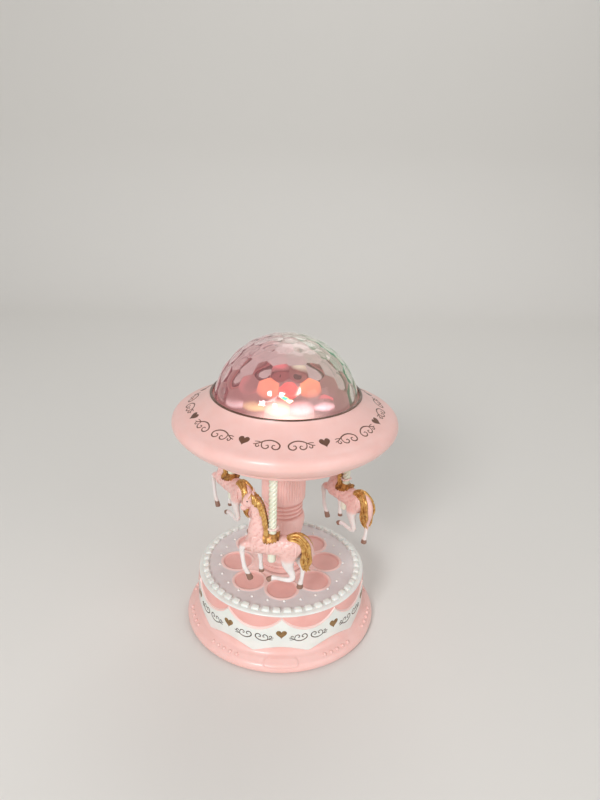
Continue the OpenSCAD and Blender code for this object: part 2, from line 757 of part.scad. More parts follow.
// Directions of the dome's facets: rows of latitude, number in the row, half-step offset
dome_rows = [[19, 1, 0], [33, 1, 0.5], [46, 1, 0], [58, 0.75, 0], [70, 0.5, 0.5], [81, 0.25, 0]];

// Clear dome: a round shell whose outside is cut into facets
module dome() color([0.9, 0.95, 1, 0.4]) {
    translate([0, 0, dome_centre_z]) difference() {
        sphere(r = dome_r, $fn = 96);
        sphere(r = dome_r - dome_wall, $fn = 96);
        translate([-2 * dome_r, -2 * dome_r, dome_cut_z + part_fit / 2 - dome_centre_z - 4 * dome_r])
            cube(4 * dome_r);
        for (row = dome_rows, i = [0:round(dome_cells * row[1]) - 1])
            rotate(dome_turn + (i + row[2]) * 360 / round(dome_cells * row[1])) rotate([0, -row[0], 0])
                translate([dome_r - facet_depth, -facet_w / 2, -facet_w / 2]) cube(facet_w);
        translate([-facet_w / 2, -facet_w / 2, dome_r - facet_depth]) cube(facet_w);
    }
}

// Plate under the dome that carries the lamp and hides the works
module lamp_plate() color("mistyrose") {
    edge_r = dome_seat_r - seat_ledge - part_fit;
    difference() {
        translate([0, 0, lamp_plate_z]) rotate_extrude($fn = 96) polygon([[0, -lamp_well],
            [board_r + 2, -lamp_well], [edge_r, 0.2], [edge_r, 0.2 + lamp_plate_t],
            [board_r + 1, lamp_plate_t - lamp_well], [0, lamp_plate_t - lamp_well]]);
        ring_of(3, lens_phase) translate([lens_ring_r, 0, lamp_plate_z - 5])
            cylinder(r = lens_r + 0.2, h = 6, $fn = 32);
    }
}

// Round circuit board under the lamp plate
module lamp_board() color("seagreen") {
    translate([0, 0, lamp_plate_z - lamp_well - 1.6]) tube(board_r, 1.2, 1.6);
}

// Three small round lamps: warm white, green and red
module lamp_lenses() color("white") {
    ring_of(3, lens_phase) translate([lens_ring_r, 0, lamp_plate_z - lamp_well]) {
        cylinder(r = lens_r, h = lens_h, $fn = 32);
        translate([0, 0, lens_h]) sphere(r = lens_r, $fn = 32);
    }
}

// ---- Battery tray, cells and door

// Frame of the battery tray, turned to its place in the pan
module in_tray() rotate(tray_turn) translate([tray_in_r, 0, 0]) children();

// Open tray that stands in the hatch of the pan
module battery_tray() color("whitesmoke") in_tray() {
    fit = part_fit;
    difference() {
        translate([fit, -tray_len / 2 + fit, pan_z + 1.6])
            cube([tray_w - 2 * fit, tray_len - 2 * fit, 2 * cell_r + 1.6]);
        translate([fit + tray_wall, -tray_len / 2 + fit + tray_wall, pan_z])
            cube([tray_w - 2 * (fit + tray_wall), tray_len - 2 * (fit + tray_wall), 2 * cell_r + 2]);
    }
}

// Two cells side by side, turned opposite ways
module battery_cells() color("slategray") in_tray() {
    for (s = [0, 1])
        translate([tray_w / 2 + (s - 0.5) * (2 * cell_r + 0.3), (s - 0.5) * 0.6, pan_z + 1.7 + cell_r])
        rotate([90, 0, 180 * s]) {
            translate([0, 0, -cell_len / 2]) cylinder(r = cell_r - 0.1, h = cell_len - 0.8, $fn = 48);
            translate([0, 0, cell_len / 2 - 1]) cylinder(r = 1.9, h = 0.8, $fn = 24);
        }
}

// Contact plates at the ends of the cells
module battery_contacts() color("silver") in_tray() {
    y = tray_len / 2 - part_fit - tray_wall - 0.5;
    for (s = [-1, 1]) translate([2.2, s * y - 0.2, pan_z + 3]) cube([tray_w - 4.4, 0.4, 7]);
}

// Door that closes the tray, flush in the pan
module battery_door() color("pink") in_tray() {
    difference() {
        translate([part_fit, -tray_len / 2 + part_fit, pan_z])
            cube([tray_w - 2 * part_fit, tray_len - 2 * part_fit, 1.4]);
        for (k = [-2:2]) translate([tray_w / 2 - 5, k * 1.6 - 0.3, pan_z - 1]) cube([10, 0.6, 1.4]);
        translate([lock_x, lock_y, pan_z - 1]) cylinder(r = small_hole_r, h = 4, $fn = 24);
    }
}

// Small screw that locks the battery door
module door_screw() color("silver") in_tray() {
    translate([lock_x, lock_y, pan_z - 0.9]) screw(small_hole_r - run_fit, 2.2, 1.8, 0.9);
}

// Slide switch inside the roof
module switch_body() color("silver") rotate(switch_turn) {
    difference() {
        translate([switch_ring_r - 5, -(switch_travel + 10) / 2, pan_top]) cube([10, switch_travel + 10, 5]);
        translate([switch_ring_r - 1.6, -(switch_travel + 3) / 2, pan_top - 1])
            cube([3.2, switch_travel + 3, 4]);
    }
}

// Ribbed knob of the lamp switch, at the off end of its travel
module switch_knob() color("white") rotate(switch_turn) {
    translate([switch_ring_r - 1.4, -switch_travel / 2 - 1.2, pan_z - 0.4]) {
        cube([2.8, 2.4, pan_t + 2.6]);
        for (k = [0:2]) translate([0, 0.2 + k * 0.8, -0.3]) cube([2.8, 0.4, 0.4]);
    }
}

// Two leads from the tray to the lamp board
module lamp_wires() color("red") {
    for (s = [-1, 1]) rotate(tray_turn + s * wire_turn) translate([tray_in_r + 3, 0, 0]) {
        top = lamp_plate_z - lamp_well - 1.7;
        low = pan_z + 2 * cell_r + 3.4;
        translate([0, 0, low]) cylinder(r = wire_r, h = top - low - 2, $fn = 16);
        translate([0, 0, top - 2]) sphere(r = wire_r, $fn = 16);
        translate([0, 0, top - 2]) rotate([0, -45, 0]) cylinder(r = wire_r, h = 2.4, $fn = 16);
    }
}

// ======== Poles and horses ========

// Place of one pole, turned so that +X is the way its horse faces
module at_pole(i) rotate(pole_turns[i]) translate([pole_circle_r, 0, 0])
    rotate(headings[i] - pole_turns[i]) children();

// Twisted rope section: four lobes
module rope(h, turns) {
    linear_extrude(height = h, twist = -360 * turns, slices = round(8 * turns), $fn = 8)
        for (k = [0:3]) rotate(k * 90) translate([pole_r * 0.42, 0]) circle(r = pole_r * 0.56);
}

// Pole: a rope-twist tube with plain ends and the pin that turns in the roof
module pole(i) color("ivory") at_pole(i) {
    translate([0, 0, pole_bottom_z]) cylinder(r = pole_r, h = saddle_z + 1.2 - pole_bottom_z, $fn = 32);
    translate([0, 0, saddle_z + 1.1])
        rope(pole_top_z - 2.2 - saddle_z, (pole_top_z - saddle_z) / rope_turn * 4);
    translate([0, 0, pole_top_z - 1.3]) cylinder(r = pole_r + 0.6, h = 1.3, $fn = 32);
    translate([0, 0, pole_top_z - eps]) cylinder(r = pole_pin_r, h = boss_top + 2.4 - pole_top_z, $fn = 48);
}

module pole_front() pole(0);
module pole_right() pole(1);
module pole_left() pole(2);

// Push-on clip that keeps the pole's pin in its socket
module pole_clip(i) color("silver") at_pole(i) translate([0, 0, boss_top + 0.3])
    tube(3.4, pole_pin_r, clip_t, 48);

module pole_clip_front() pole_clip(0);
module pole_clip_right() pole_clip(1);
module pole_clip_left() pole_clip(2);

// One ring of a loft: centre, half-width across, half-height, square to direction t
function loft_ring(s, t, n) = [for (k = [0:n - 1]) let (a = 360 * k / n)
    [s[0] - s[4] * cos(a) * sin(t), s[1] + s[3] * sin(a), s[2] + s[4] * cos(a) * cos(t)]];

// Direction of the loft's path at row j, seen from the side
function row_turn(rows, j) = let (p = rows[max(j - 1, 0)], q = rows[min(j + 1, len(rows) - 1)])
    atan2(q[2] - p[2], q[0] - p[0]);

// Closed solid through a list of rings [x, y, z, half-width, half-height]
module loft(rows, n = 12) {
    m = len(rows);
    points = [for (j = [0:m - 1]) each loft_ring(rows[j], row_turn(rows, j), n)];
    sides = [for (j = [0:m - 2], k = [0:n - 1]) each let (a = j * n + k, b = j * n + (k + 1) % n)
        [[a, b, b + n], [a, b + n, a + n]]];
    polyhedron(points = points, faces = concat(sides,
        [[for (k = [n - 1:-1:0]) k]], [[for (k = [0:n - 1]) (m - 1) * n + k]]), convexity = 4);
}

// Rows of the horse, +X forward, heights measured from the saddle
horse_trunk = [
    [-16.4, 0, -9.6, 1.2, 1.2], [-15.2, 0, -9.5, 3.2, 3.4], [-12.6, 0, -9.3, 4.7, 5.6], [-9, 0, -9.3, 5.3, 6.2],
    [-4.6, 0, -8.3, 5.0, 5.5], [0, 0, -7.7, 5.1, 5.3], [5, 0, -7.3, 5.0, 5.3], [9, 0, -7.0, 4.6, 5.0],
    [11.8, 0, -6.8, 3.3, 3.7], [13, 0, -6.5, 1.4, 1.6]];
horse_neck = [
    [7.8, 0, -6, 3.9, 4.4], [7.6, 0, -0.5, 3.4, 4.9], [7.2, 0, 4.5, 2.8, 4.3], [7.0, 0, 9, 2.4, 3.8],
    [7.8, 0, 13, 2.2, 3.5], [9.4, 0, 16.6, 2.1, 3.2], [11.2, 0, 18.4, 1.9, 2.4]];
horse_head = [
    [10.0, 0, 20.2, 1.3, 1.6], [11.0, 0, 18.6, 2.2, 3.0], [12.3, 0, 16.4, 2.3, 3.3], [13.6, 0, 14.2, 1.7, 2.3],
    [14.7, 0, 12.4, 1.4, 1.8], [15.3, 0, 11.4, 0.7, 0.9]];
horse_mane = [
    [9.0, 1.0, 21.2, 0.9, 0.8], [7.6, 1.5, 19, 1.3, 2.0], [6.2, 1.7, 15, 1.5, 2.7], [5.2, 1.8, 10.4, 1.7, 2.8],
    [4.4, 1.8, 6, 1.7, 2.3], [3.6, 1.6, 2.2, 1.4, 1.6], [3.2, 1.4, -0.4, 0.6, 0.7]];
horse_tail = [
    [-8.4, 0, -4.2, 1.4, 1.4], [-11.4, 0, -3.4, 2.2, 2.0], [-14.6, 0, -3.8, 2.5, 2.3],
    [-17.2, 0, -7.2, 2.8, 2.9], [-18.2, 0, -12, 2.7, 3.1], [-17.8, 0, -17, 2.2, 2.7], [-18.1, 0, -21.4, 1.1, 1.5]];
fore_near = [
    [9.6, 2.4, -8.4, 2.1, 2.1], [12.4, 2.6, -6.9, 1.9, 2.0], [14.5, 2.8, -8.8, 1.6, 1.7],
    [14.4, 2.9, -14.5, 1.25, 1.35],
    [13.6, 3, -19, 1.15, 1.2], [12.2, 3.1, -21.8, 1.4, 1.4], [10.4, 3.2, -25.6, 1.25, 1.3]];
fore_far = [
    [8.2, -2.4, -9.5, 1.9, 2.2], [6.6, -2.6, -13.4, 1.4, 1.6], [6.2, -2.7, -19.5, 1.1, 1.2],
    [6.0, -2.8, -23.6, 1.1, 1.2], [6.2, -2.8, -26, 1.35, 1.4]];
hind_near = [
    [-8.5, 2.6, -11, 2.8, 4.4], [-8.6, 3, -16, 2.2, 3.4], [-10.2, 3.2, -21, 1.8, 2.2],
    [-10.6, 3.2, -24, 1.6, 1.7],
    [-8, 3.2, -25.2, 1.5, 1.5], [-3, 3.2, -24.9, 1.35, 1.35], [-0.6, 3.2, -25, 1.6, 1.7],
    [1.4, 3.2, -25.6, 1.4, 1.4]];
hind_far = [
    [-12, -2.4, -11, 2.6, 3.6], [-13.6, -2.5, -17, 1.9, 2.4], [-15.6, -2.6, -22, 1.4, 1.6],
    [-16.2, -2.6, -28, 1.15, 1.3], [-15.8, -2.6, -32, 1.3, 1.4], [-15, -2.6, -35, 1.6, 1.9]];
horse_saddle = [
    [-3.9, 0, -1.5, 2.6, 1.6], [-2, 0, -2, 4, 1.6], [1.8, 0, -2, 4.2, 1.7], [4, 0, -1.3, 3, 2]];
horse_ear = [[10, 1.1, 20, 0.7, 0.7], [10.2, 1.3, 21.4, 0.6, 0.7], [10.3, 1.4, 22.8, 0.15, 0.2]];

// Horse: trunk, neck, head, legs, mane, tail and saddle in one moulding, drilled for its pole
module horse(i) color("pink") at_pole(i) translate([0, 0, saddle_z]) difference() {
    union() {
        loft(horse_trunk, 14);
        loft(horse_neck, 12);
        loft(horse_head, 10);
        loft(horse_mane, 8);
        loft(horse_tail, 10);
        loft(fore_near, 8);
        loft(fore_far, 8);
        loft(hind_near, 8);
        loft(hind_far, 8);
        loft(horse_saddle, 12);
        for (s = [0, 1]) mirror([0, s, 0]) loft(horse_ear, 6);
    }
    translate([0, 0, -30]) cylinder(r = pole_r + 0.12, h = 45, $fn = 32);
}

module horse_front() horse(0);
module horse_right() horse(1);
module horse_left() horse(2);

base_shell();
deck_plate();
bottom_cover();
rubber_feet();
cover_screws();
winding_key();
key_arbor();
arbor_bush();
movement_bedplate();
bedplate_screws();
spring_barrel();
music_cylinder();
cylinder_brackets();
comb();
comb_stand();
comb_screws();
governor_wheel();
governor_fly();
governor_frame();
spindle();
spindle_bush();
column_foot();
column_left_half();
column_right_half();
spindle_nut();
roof_lower_bowl();
roof_upper_shell();
roof_screws();
dome_ring();
dome();
lamp_plate();
lamp_board();
lamp_lenses();
battery_tray();
battery_cells();
battery_contacts();
battery_door();
door_screw();
switch_body();
switch_knob();
lamp_wires();
pole_front();
pole_right();
pole_left();
pole_clip_front();
pole_clip_right();
pole_clip_left();
horse_front();
horse_right();
horse_left();
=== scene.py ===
"""Carousel music box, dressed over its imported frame.

Every size is in millimetres here and becomes metres when a mesh is made. The frame's own axes are
used throughout: +Z up along the spindle, -Y the front, azimuths counted from +X.
"""

import logging
import math
from dataclasses import dataclass, field
from enum import Enum
from typing import Any, Callable, Sequence

import bmesh
import bpy
import numpy as np
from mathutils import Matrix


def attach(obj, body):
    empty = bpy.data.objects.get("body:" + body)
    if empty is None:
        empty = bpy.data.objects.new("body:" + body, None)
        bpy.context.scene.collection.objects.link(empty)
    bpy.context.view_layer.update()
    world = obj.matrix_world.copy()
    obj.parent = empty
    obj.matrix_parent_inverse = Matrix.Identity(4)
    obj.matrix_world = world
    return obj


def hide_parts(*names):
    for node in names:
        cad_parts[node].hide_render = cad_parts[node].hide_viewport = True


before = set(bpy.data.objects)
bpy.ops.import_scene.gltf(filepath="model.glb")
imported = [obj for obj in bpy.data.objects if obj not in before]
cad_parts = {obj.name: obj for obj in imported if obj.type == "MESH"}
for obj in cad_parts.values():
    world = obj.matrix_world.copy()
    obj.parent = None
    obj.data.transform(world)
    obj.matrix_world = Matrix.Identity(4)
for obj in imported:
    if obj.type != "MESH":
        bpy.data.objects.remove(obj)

log = logging.getLogger("carousel")
Array = np.ndarray
MM = 0.001
DECK_TOP = 33.0
PAN_Z = 114.3
EQUATOR_Z = PAN_Z + 10.8
NECK_Z = EQUATOR_Z + 15.2
POLE_RING_R = 39.5


# ---------------------------------------------------------------- colours and shader nodes


def linear(hex_colour: str) -> tuple[float, float, float, float]:
    """Turns an sRGB hex colour into the linear RGBA that shader sockets take.

    Args:
        hex_colour: six hex digits, red first.
    Returns:
        Linear red, green, blue and an alpha of one.
    """
    parts = [int(hex_colour[i : i + 2], 16) / 255 for i in (0, 2, 4)]
    low = [c / 12.92 if c <= 0.04045 else ((c + 0.055) / 1.055) ** 2.4 for c in parts]
    return (low[0], low[1], low[2], 1.0)


def add_node(
    material: bpy.types.Material,
    kind: str,
    settings: dict[str, Any] | None = None,
    inputs: dict[str | int, Any] | None = None,
) -> bpy.types.Node:
    """Adds one shader node, sets it up and links it.

    Args:
        material: the material whose tree gets the node.
        kind: the node's type name.
        settings: properties of the node itself.
        inputs: values or output sockets for its inputs, by name or number.
    Returns:
        The new node.
    """
    node = material.node_tree.nodes.new(kind)
    for key, value in (settings or {}).items():
        setattr(node, key, value)
    for key, value in (inputs or {}).items():
        socket = node.inputs[key]
        if isinstance(value, bpy.types.NodeSocket):
            material.node_tree.links.new(value, socket)
        else:
            socket.default_value = value
    return node


def fresh_material(name: str) -> bpy.types.Material:
    """Makes an empty node material.

    Args:
        name: the material's name.
    Returns:
        The material with a cleared node tree.
    """
    material = bpy.data.materials.new(name)
    material.use_nodes = True
    material.node_tree.nodes.clear()
    return material


def ramp(node: bpy.types.Node, stops: Sequence[tuple[float, str]]) -> bpy.types.NodeSocket:
    """Fills a Color Ramp node with hex stops.

    Args:
        node: the Color Ramp node.
        stops: position and hex colour of each stop, in order.
    Returns:
        The ramp's colour output.
    """
    elements = node.color_ramp.elements
    while len(elements) < len(stops):
        elements.new(0.5)
    for element, (position, colour) in zip(elements, stops):
        element.position = position
        element.color = linear(colour)
    return node.outputs["Color"]


# ---------------------------------------------------------------- finishes


@dataclass(frozen=True)
class MouldedResin:
    """Sprayed and lacquered resin: satin, faintly mottled, with a fine orange-peel skin."""

    name: str
    colour: str
    shade: str
    roughness: float = 0.38
    coat: float = 0.25
    peel_mm: float = 1.6
    peel_depth: float = 0.012
    paint: str = ""

    def build(self) -> bpy.types.Material:
        """Builds the material; a named colour attribute, if any, tints it by region."""
        m = fresh_material(self.name)
        coord = add_node(m, "ShaderNodeTexCoord").outputs["Object"]
        cloud = add_node(m, "ShaderNodeTexNoise", {}, {"Vector": coord, "Scale": 1 / (9 * MM), "Detail": 3.0})
        base = ramp(add_node(m, "ShaderNodeValToRGB", {}, {0: cloud.outputs["Fac"]}),
                    [(0.35, self.shade), (0.6, self.colour)])
        if self.paint:
            tint = add_node(m, "ShaderNodeAttribute", {"attribute_name": self.paint})
            base = add_node(m, "ShaderNodeMix", {"data_type": "RGBA", "blend_type": "MULTIPLY"},
                            {0: 1.0, 6: base, 7: tint.outputs["Color"]}).outputs[2]
        peel = add_node(
            m, "ShaderNodeTexNoise", {}, {"Vector": coord, "Scale": 1 / (self.peel_mm * MM), "Detail": 2.0})
        rough = add_node(m, "ShaderNodeMapRange", {}, {"Value": peel.outputs["Fac"], 3: self.roughness - 0.05,
                                                       4: self.roughness + 0.07})
        bump = add_node(m, "ShaderNodeBump", {}, {"Height": peel.outputs["Fac"], "Strength": 0.5,
                                                  "Distance": self.peel_depth * MM})
        shader = add_node(m, "ShaderNodeBsdfPrincipled", {}, {
            "Base Color": base, "Roughness": rough.outputs[0], "Normal": bump.outputs["Normal"],
            "IOR": 1.5, "Coat Weight": self.coat, "Coat Roughness": 0.18,
            "Subsurface Weight": 0.12, "Subsurface Radius": (0.004, 0.002, 0.0015), "Subsurface Scale": 0.5})
        add_node(m, "ShaderNodeOutputMaterial", {}, {"Surface": shader.outputs[0]})
        return m


@dataclass(frozen=True)
class RubbedMetallic:
    """Metallic paint brushed over a dark wash, which shows through in random patches laid by a noise."""

    name: str
    bright: str
    dark: str
    metallic: float = 0.65
    roughness: float = 0.34
    grain_mm: float = 1.1

    def build(self) -> bpy.types.Material:
        """Builds the material from a patchy noise and a finer brush noise."""
        m = fresh_material(self.name)
        coord = add_node(m, "ShaderNodeTexCoord").outputs["Object"]
        patch = add_node(m, "ShaderNodeTexNoise", {}, {
            "Vector": coord, "Scale": 1 / (self.grain_mm * 2.2 * MM), "Detail": 4.0})
        base = ramp(add_node(m, "ShaderNodeValToRGB", {}, {0: patch.outputs["Fac"]}),
                    [(0.36, self.dark), (0.56, self.bright)])
        fine = add_node(m, "ShaderNodeTexNoise", {}, {
            "Vector": coord, "Scale": 1 / (self.grain_mm * 0.5 * MM), "Detail": 2.0})
        rough = add_node(m, "ShaderNodeMapRange", {}, {"Value": fine.outputs["Fac"], 3: self.roughness - 0.08,
                                                       4: self.roughness + 0.14})
        bump = add_node(
            m, "ShaderNodeBump", {}, {"Height": fine.outputs["Fac"], "Strength": 0.6, "Distance": 0.05 * MM})
        shader = add_node(m, "ShaderNodeBsdfPrincipled", {}, {
            "Base Color": base, "Metallic": self.metallic, "Roughness": rough.outputs[0],
            "Normal": bump.outputs["Normal"]})
        add_node(m, "ShaderNodeOutputMaterial", {}, {"Surface": shader.outputs[0]})
        return m


@dataclass(frozen=True)
class WorkedMetal:
    """Bare metal with fine tool marks: turned round Z, or brushed along X."""

    name: str
    colour: str
    roughness: float = 0.28
    turned: bool = False
    mark_mm: float = 0.5

    def build(self) -> bpy.types.Material:
        """Builds the material; the marks are bands of a stretched noise."""
        m = fresh_material(self.name)
        coord = add_node(m, "ShaderNodeTexCoord").outputs["Object"]
        stretch = (1.0, 1.0, 12.0) if self.turned else (0.08, 1.0, 1.0)
        mapped = add_node(m, "ShaderNodeMapping", {}, {"Vector": coord, "Scale": stretch}).outputs[0]
        marks = add_node(
            m, "ShaderNodeTexNoise", {}, {"Vector": mapped, "Scale": 1 / (self.mark_mm * MM), "Detail": 3.0})
        tone = add_node(m, "ShaderNodeMix", {"data_type": "RGBA", "blend_type": "MULTIPLY"}, {
            0: 0.25, 6: linear(self.colour), 7: marks.outputs["Color"]}).outputs[2]
        rough = add_node(m, "ShaderNodeMapRange", {}, {
            "Value": marks.outputs["Fac"], 3: self.roughness - 0.06, 4: self.roughness + 0.12})
        bump = add_node(
            m, "ShaderNodeBump", {}, {"Height": marks.outputs["Fac"], "Strength": 0.3, "Distance": 0.01 * MM})
        shader = add_node(m, "ShaderNodeBsdfPrincipled", {}, {
            "Base Color": tone, "Metallic": 1.0, "Roughness": rough.outputs[0],
            "Normal": bump.outputs["Normal"]})
        add_node(m, "ShaderNodeOutputMaterial", {}, {"Surface": shader.outputs[0]})
        return m


@dataclass(frozen=True)
class ClearAcrylic:
    """Clear acrylic with painted light: an emitted rosy glow low down, green towards the upper right, stands
    in for lamp light caught in it.
    """

    name: str
    tint: str
    glow: tuple[tuple[float, str], ...]
    strength: float = 0.1
    glow_from_mm: float = 130.0
    glow_to_mm: float = 195.0

    def build(self) -> bpy.types.Material:
        """Builds the glassy material: the painted glow is an emission ramp of 0.8 x + z, and faint streaks
        dull the polish.
        """
        m = fresh_material(self.name)
        coord = add_node(m, "ShaderNodeTexCoord").outputs["Object"]
        streak = add_node(m, "ShaderNodeTexNoise", {}, {"Vector": coord, "Scale": 1 / (14 * MM)})
        rough = add_node(m, "ShaderNodeMapRange", {}, {"Value": streak.outputs["Fac"], 3: 0.01, 4: 0.05})
        along = add_node(m, "ShaderNodeVectorMath", {"operation": "DOT_PRODUCT"}, {
            0: coord, 1: (0.8, 0.0, 1.0)})
        place = add_node(m, "ShaderNodeMapRange", {}, {
            "Value": along.outputs["Value"], 1: self.glow_from_mm * MM, 2: self.glow_to_mm * MM})
        # Painted light: the acrylic emits this glow, though it is no lamp.
        glow = ramp(add_node(m, "ShaderNodeValToRGB", {}, {0: place.outputs[0]}), self.glow)
        shader = add_node(m, "ShaderNodeBsdfPrincipled", {}, {
            "Base Color": linear(self.tint), "Roughness": rough.outputs[0], "IOR": 1.49,
            "Transmission Weight": 1.0, "Emission Color": glow, "Emission Strength": self.strength})
        add_node(m, "ShaderNodeOutputMaterial", {}, {"Surface": shader.outputs[0]})
        return m


@dataclass(frozen=True)
class LampTrio:
    """Three frosted lamps that glow red, warm white and green, told apart by their azimuth."""

    name: str
    stops: tuple[tuple[float, str], ...]
    strength: float = 3.0

    def build(self) -> bpy.types.Material:
        """Builds the material; the colour is a stepped ramp of the azimuth as a share of a turn."""
        m = fresh_material(self.name)
        coord = add_node(m, "ShaderNodeTexCoord").outputs["Object"]
        radial = add_node(m, "ShaderNodeTexGradient", {"gradient_type": "RADIAL"}, {"Vector": coord})
        steps = add_node(m, "ShaderNodeValToRGB", {}, {0: radial.outputs["Fac"]})
        steps.color_ramp.interpolation = "CONSTANT"
        colour = ramp(steps, self.stops)
        shader = add_node(m, "ShaderNodeBsdfPrincipled", {}, {
            "Base Color": colour, "Roughness": 0.4, "IOR": 1.5, "Emission Color": colour,
            "Emission Strength": self.strength})
        add_node(m, "ShaderNodeOutputMaterial", {}, {"Surface": shader.outputs[0]})
        return m


@dataclass(frozen=True)
class PaintedLightSurface:
    """A reflector with painted pools of lamp light: each pool is a soft round patch of one colour that the
    surface emits.
    """

    name: str
    colour: str
    pools: tuple[tuple[float, float, float, float, str], ...]

    def build(self) -> bpy.types.Material:
        """Builds the material: a painted pool (x, y, reach, strength, colour) adds its colour to the emission
        with a smooth fall.
        """
        m = fresh_material(self.name)
        coord = add_node(m, "ShaderNodeTexCoord").outputs["Object"]
        flat = add_node(m, "ShaderNodeVectorMath", {"operation": "MULTIPLY"}, {
            0: coord, 1: (1.0, 1.0, 0.0)}).outputs[0]
        # Painted light: a faint pink glow that the whole plate emits, under the pools.
        total: Any = (0.02, 0.012, 0.012)
        for x, y, reach, strength, colour in self.pools:
            away = add_node(m, "ShaderNodeVectorMath", {"operation": "DISTANCE"}, {
                0: flat, 1: (x * MM, y * MM, 0.0)})
            fall = add_node(m, "ShaderNodeMapRange", {"interpolation_type": "SMOOTHSTEP"}, {
                "Value": away.outputs["Value"], 1: 0.0, 2: reach * MM, 3: strength, 4: 0.0})
            lit = add_node(m, "ShaderNodeVectorMath", {"operation": "SCALE"}, {
                0: linear(colour)[:3], "Scale": fall.outputs[0]})
            total = add_node(
                m, "ShaderNodeVectorMath", {"operation": "ADD"}, {0: total, 1: lit.outputs[0]}).outputs[0]
        shader = add_node(m, "ShaderNodeBsdfPrincipled", {}, {
            "Base Color": linear(self.colour), "Roughness": 0.45, "IOR": 1.5, "Emission Color": total,
            "Emission Strength": 1.0})
        add_node(m, "ShaderNodeOutputMaterial", {}, {"Surface": shader.outputs[0]})
        return m


@dataclass(frozen=True)
class StudioPaper:
    """Plain matt paper for the stage."""

    name: str
    colour: str

    def build(self) -> bpy.types.Material:
        """Builds the material, one even tone."""
        m = fresh_material(self.name)
        shader = add_node(m, "ShaderNodeBsdfPrincipled", {}, {
            "Base Color": linear(self.colour), "Roughness": 0.9, "IOR": 1.4})
        add_node(m, "ShaderNodeOutputMaterial", {}, {"Surface": shader.outputs[0]})
        return m


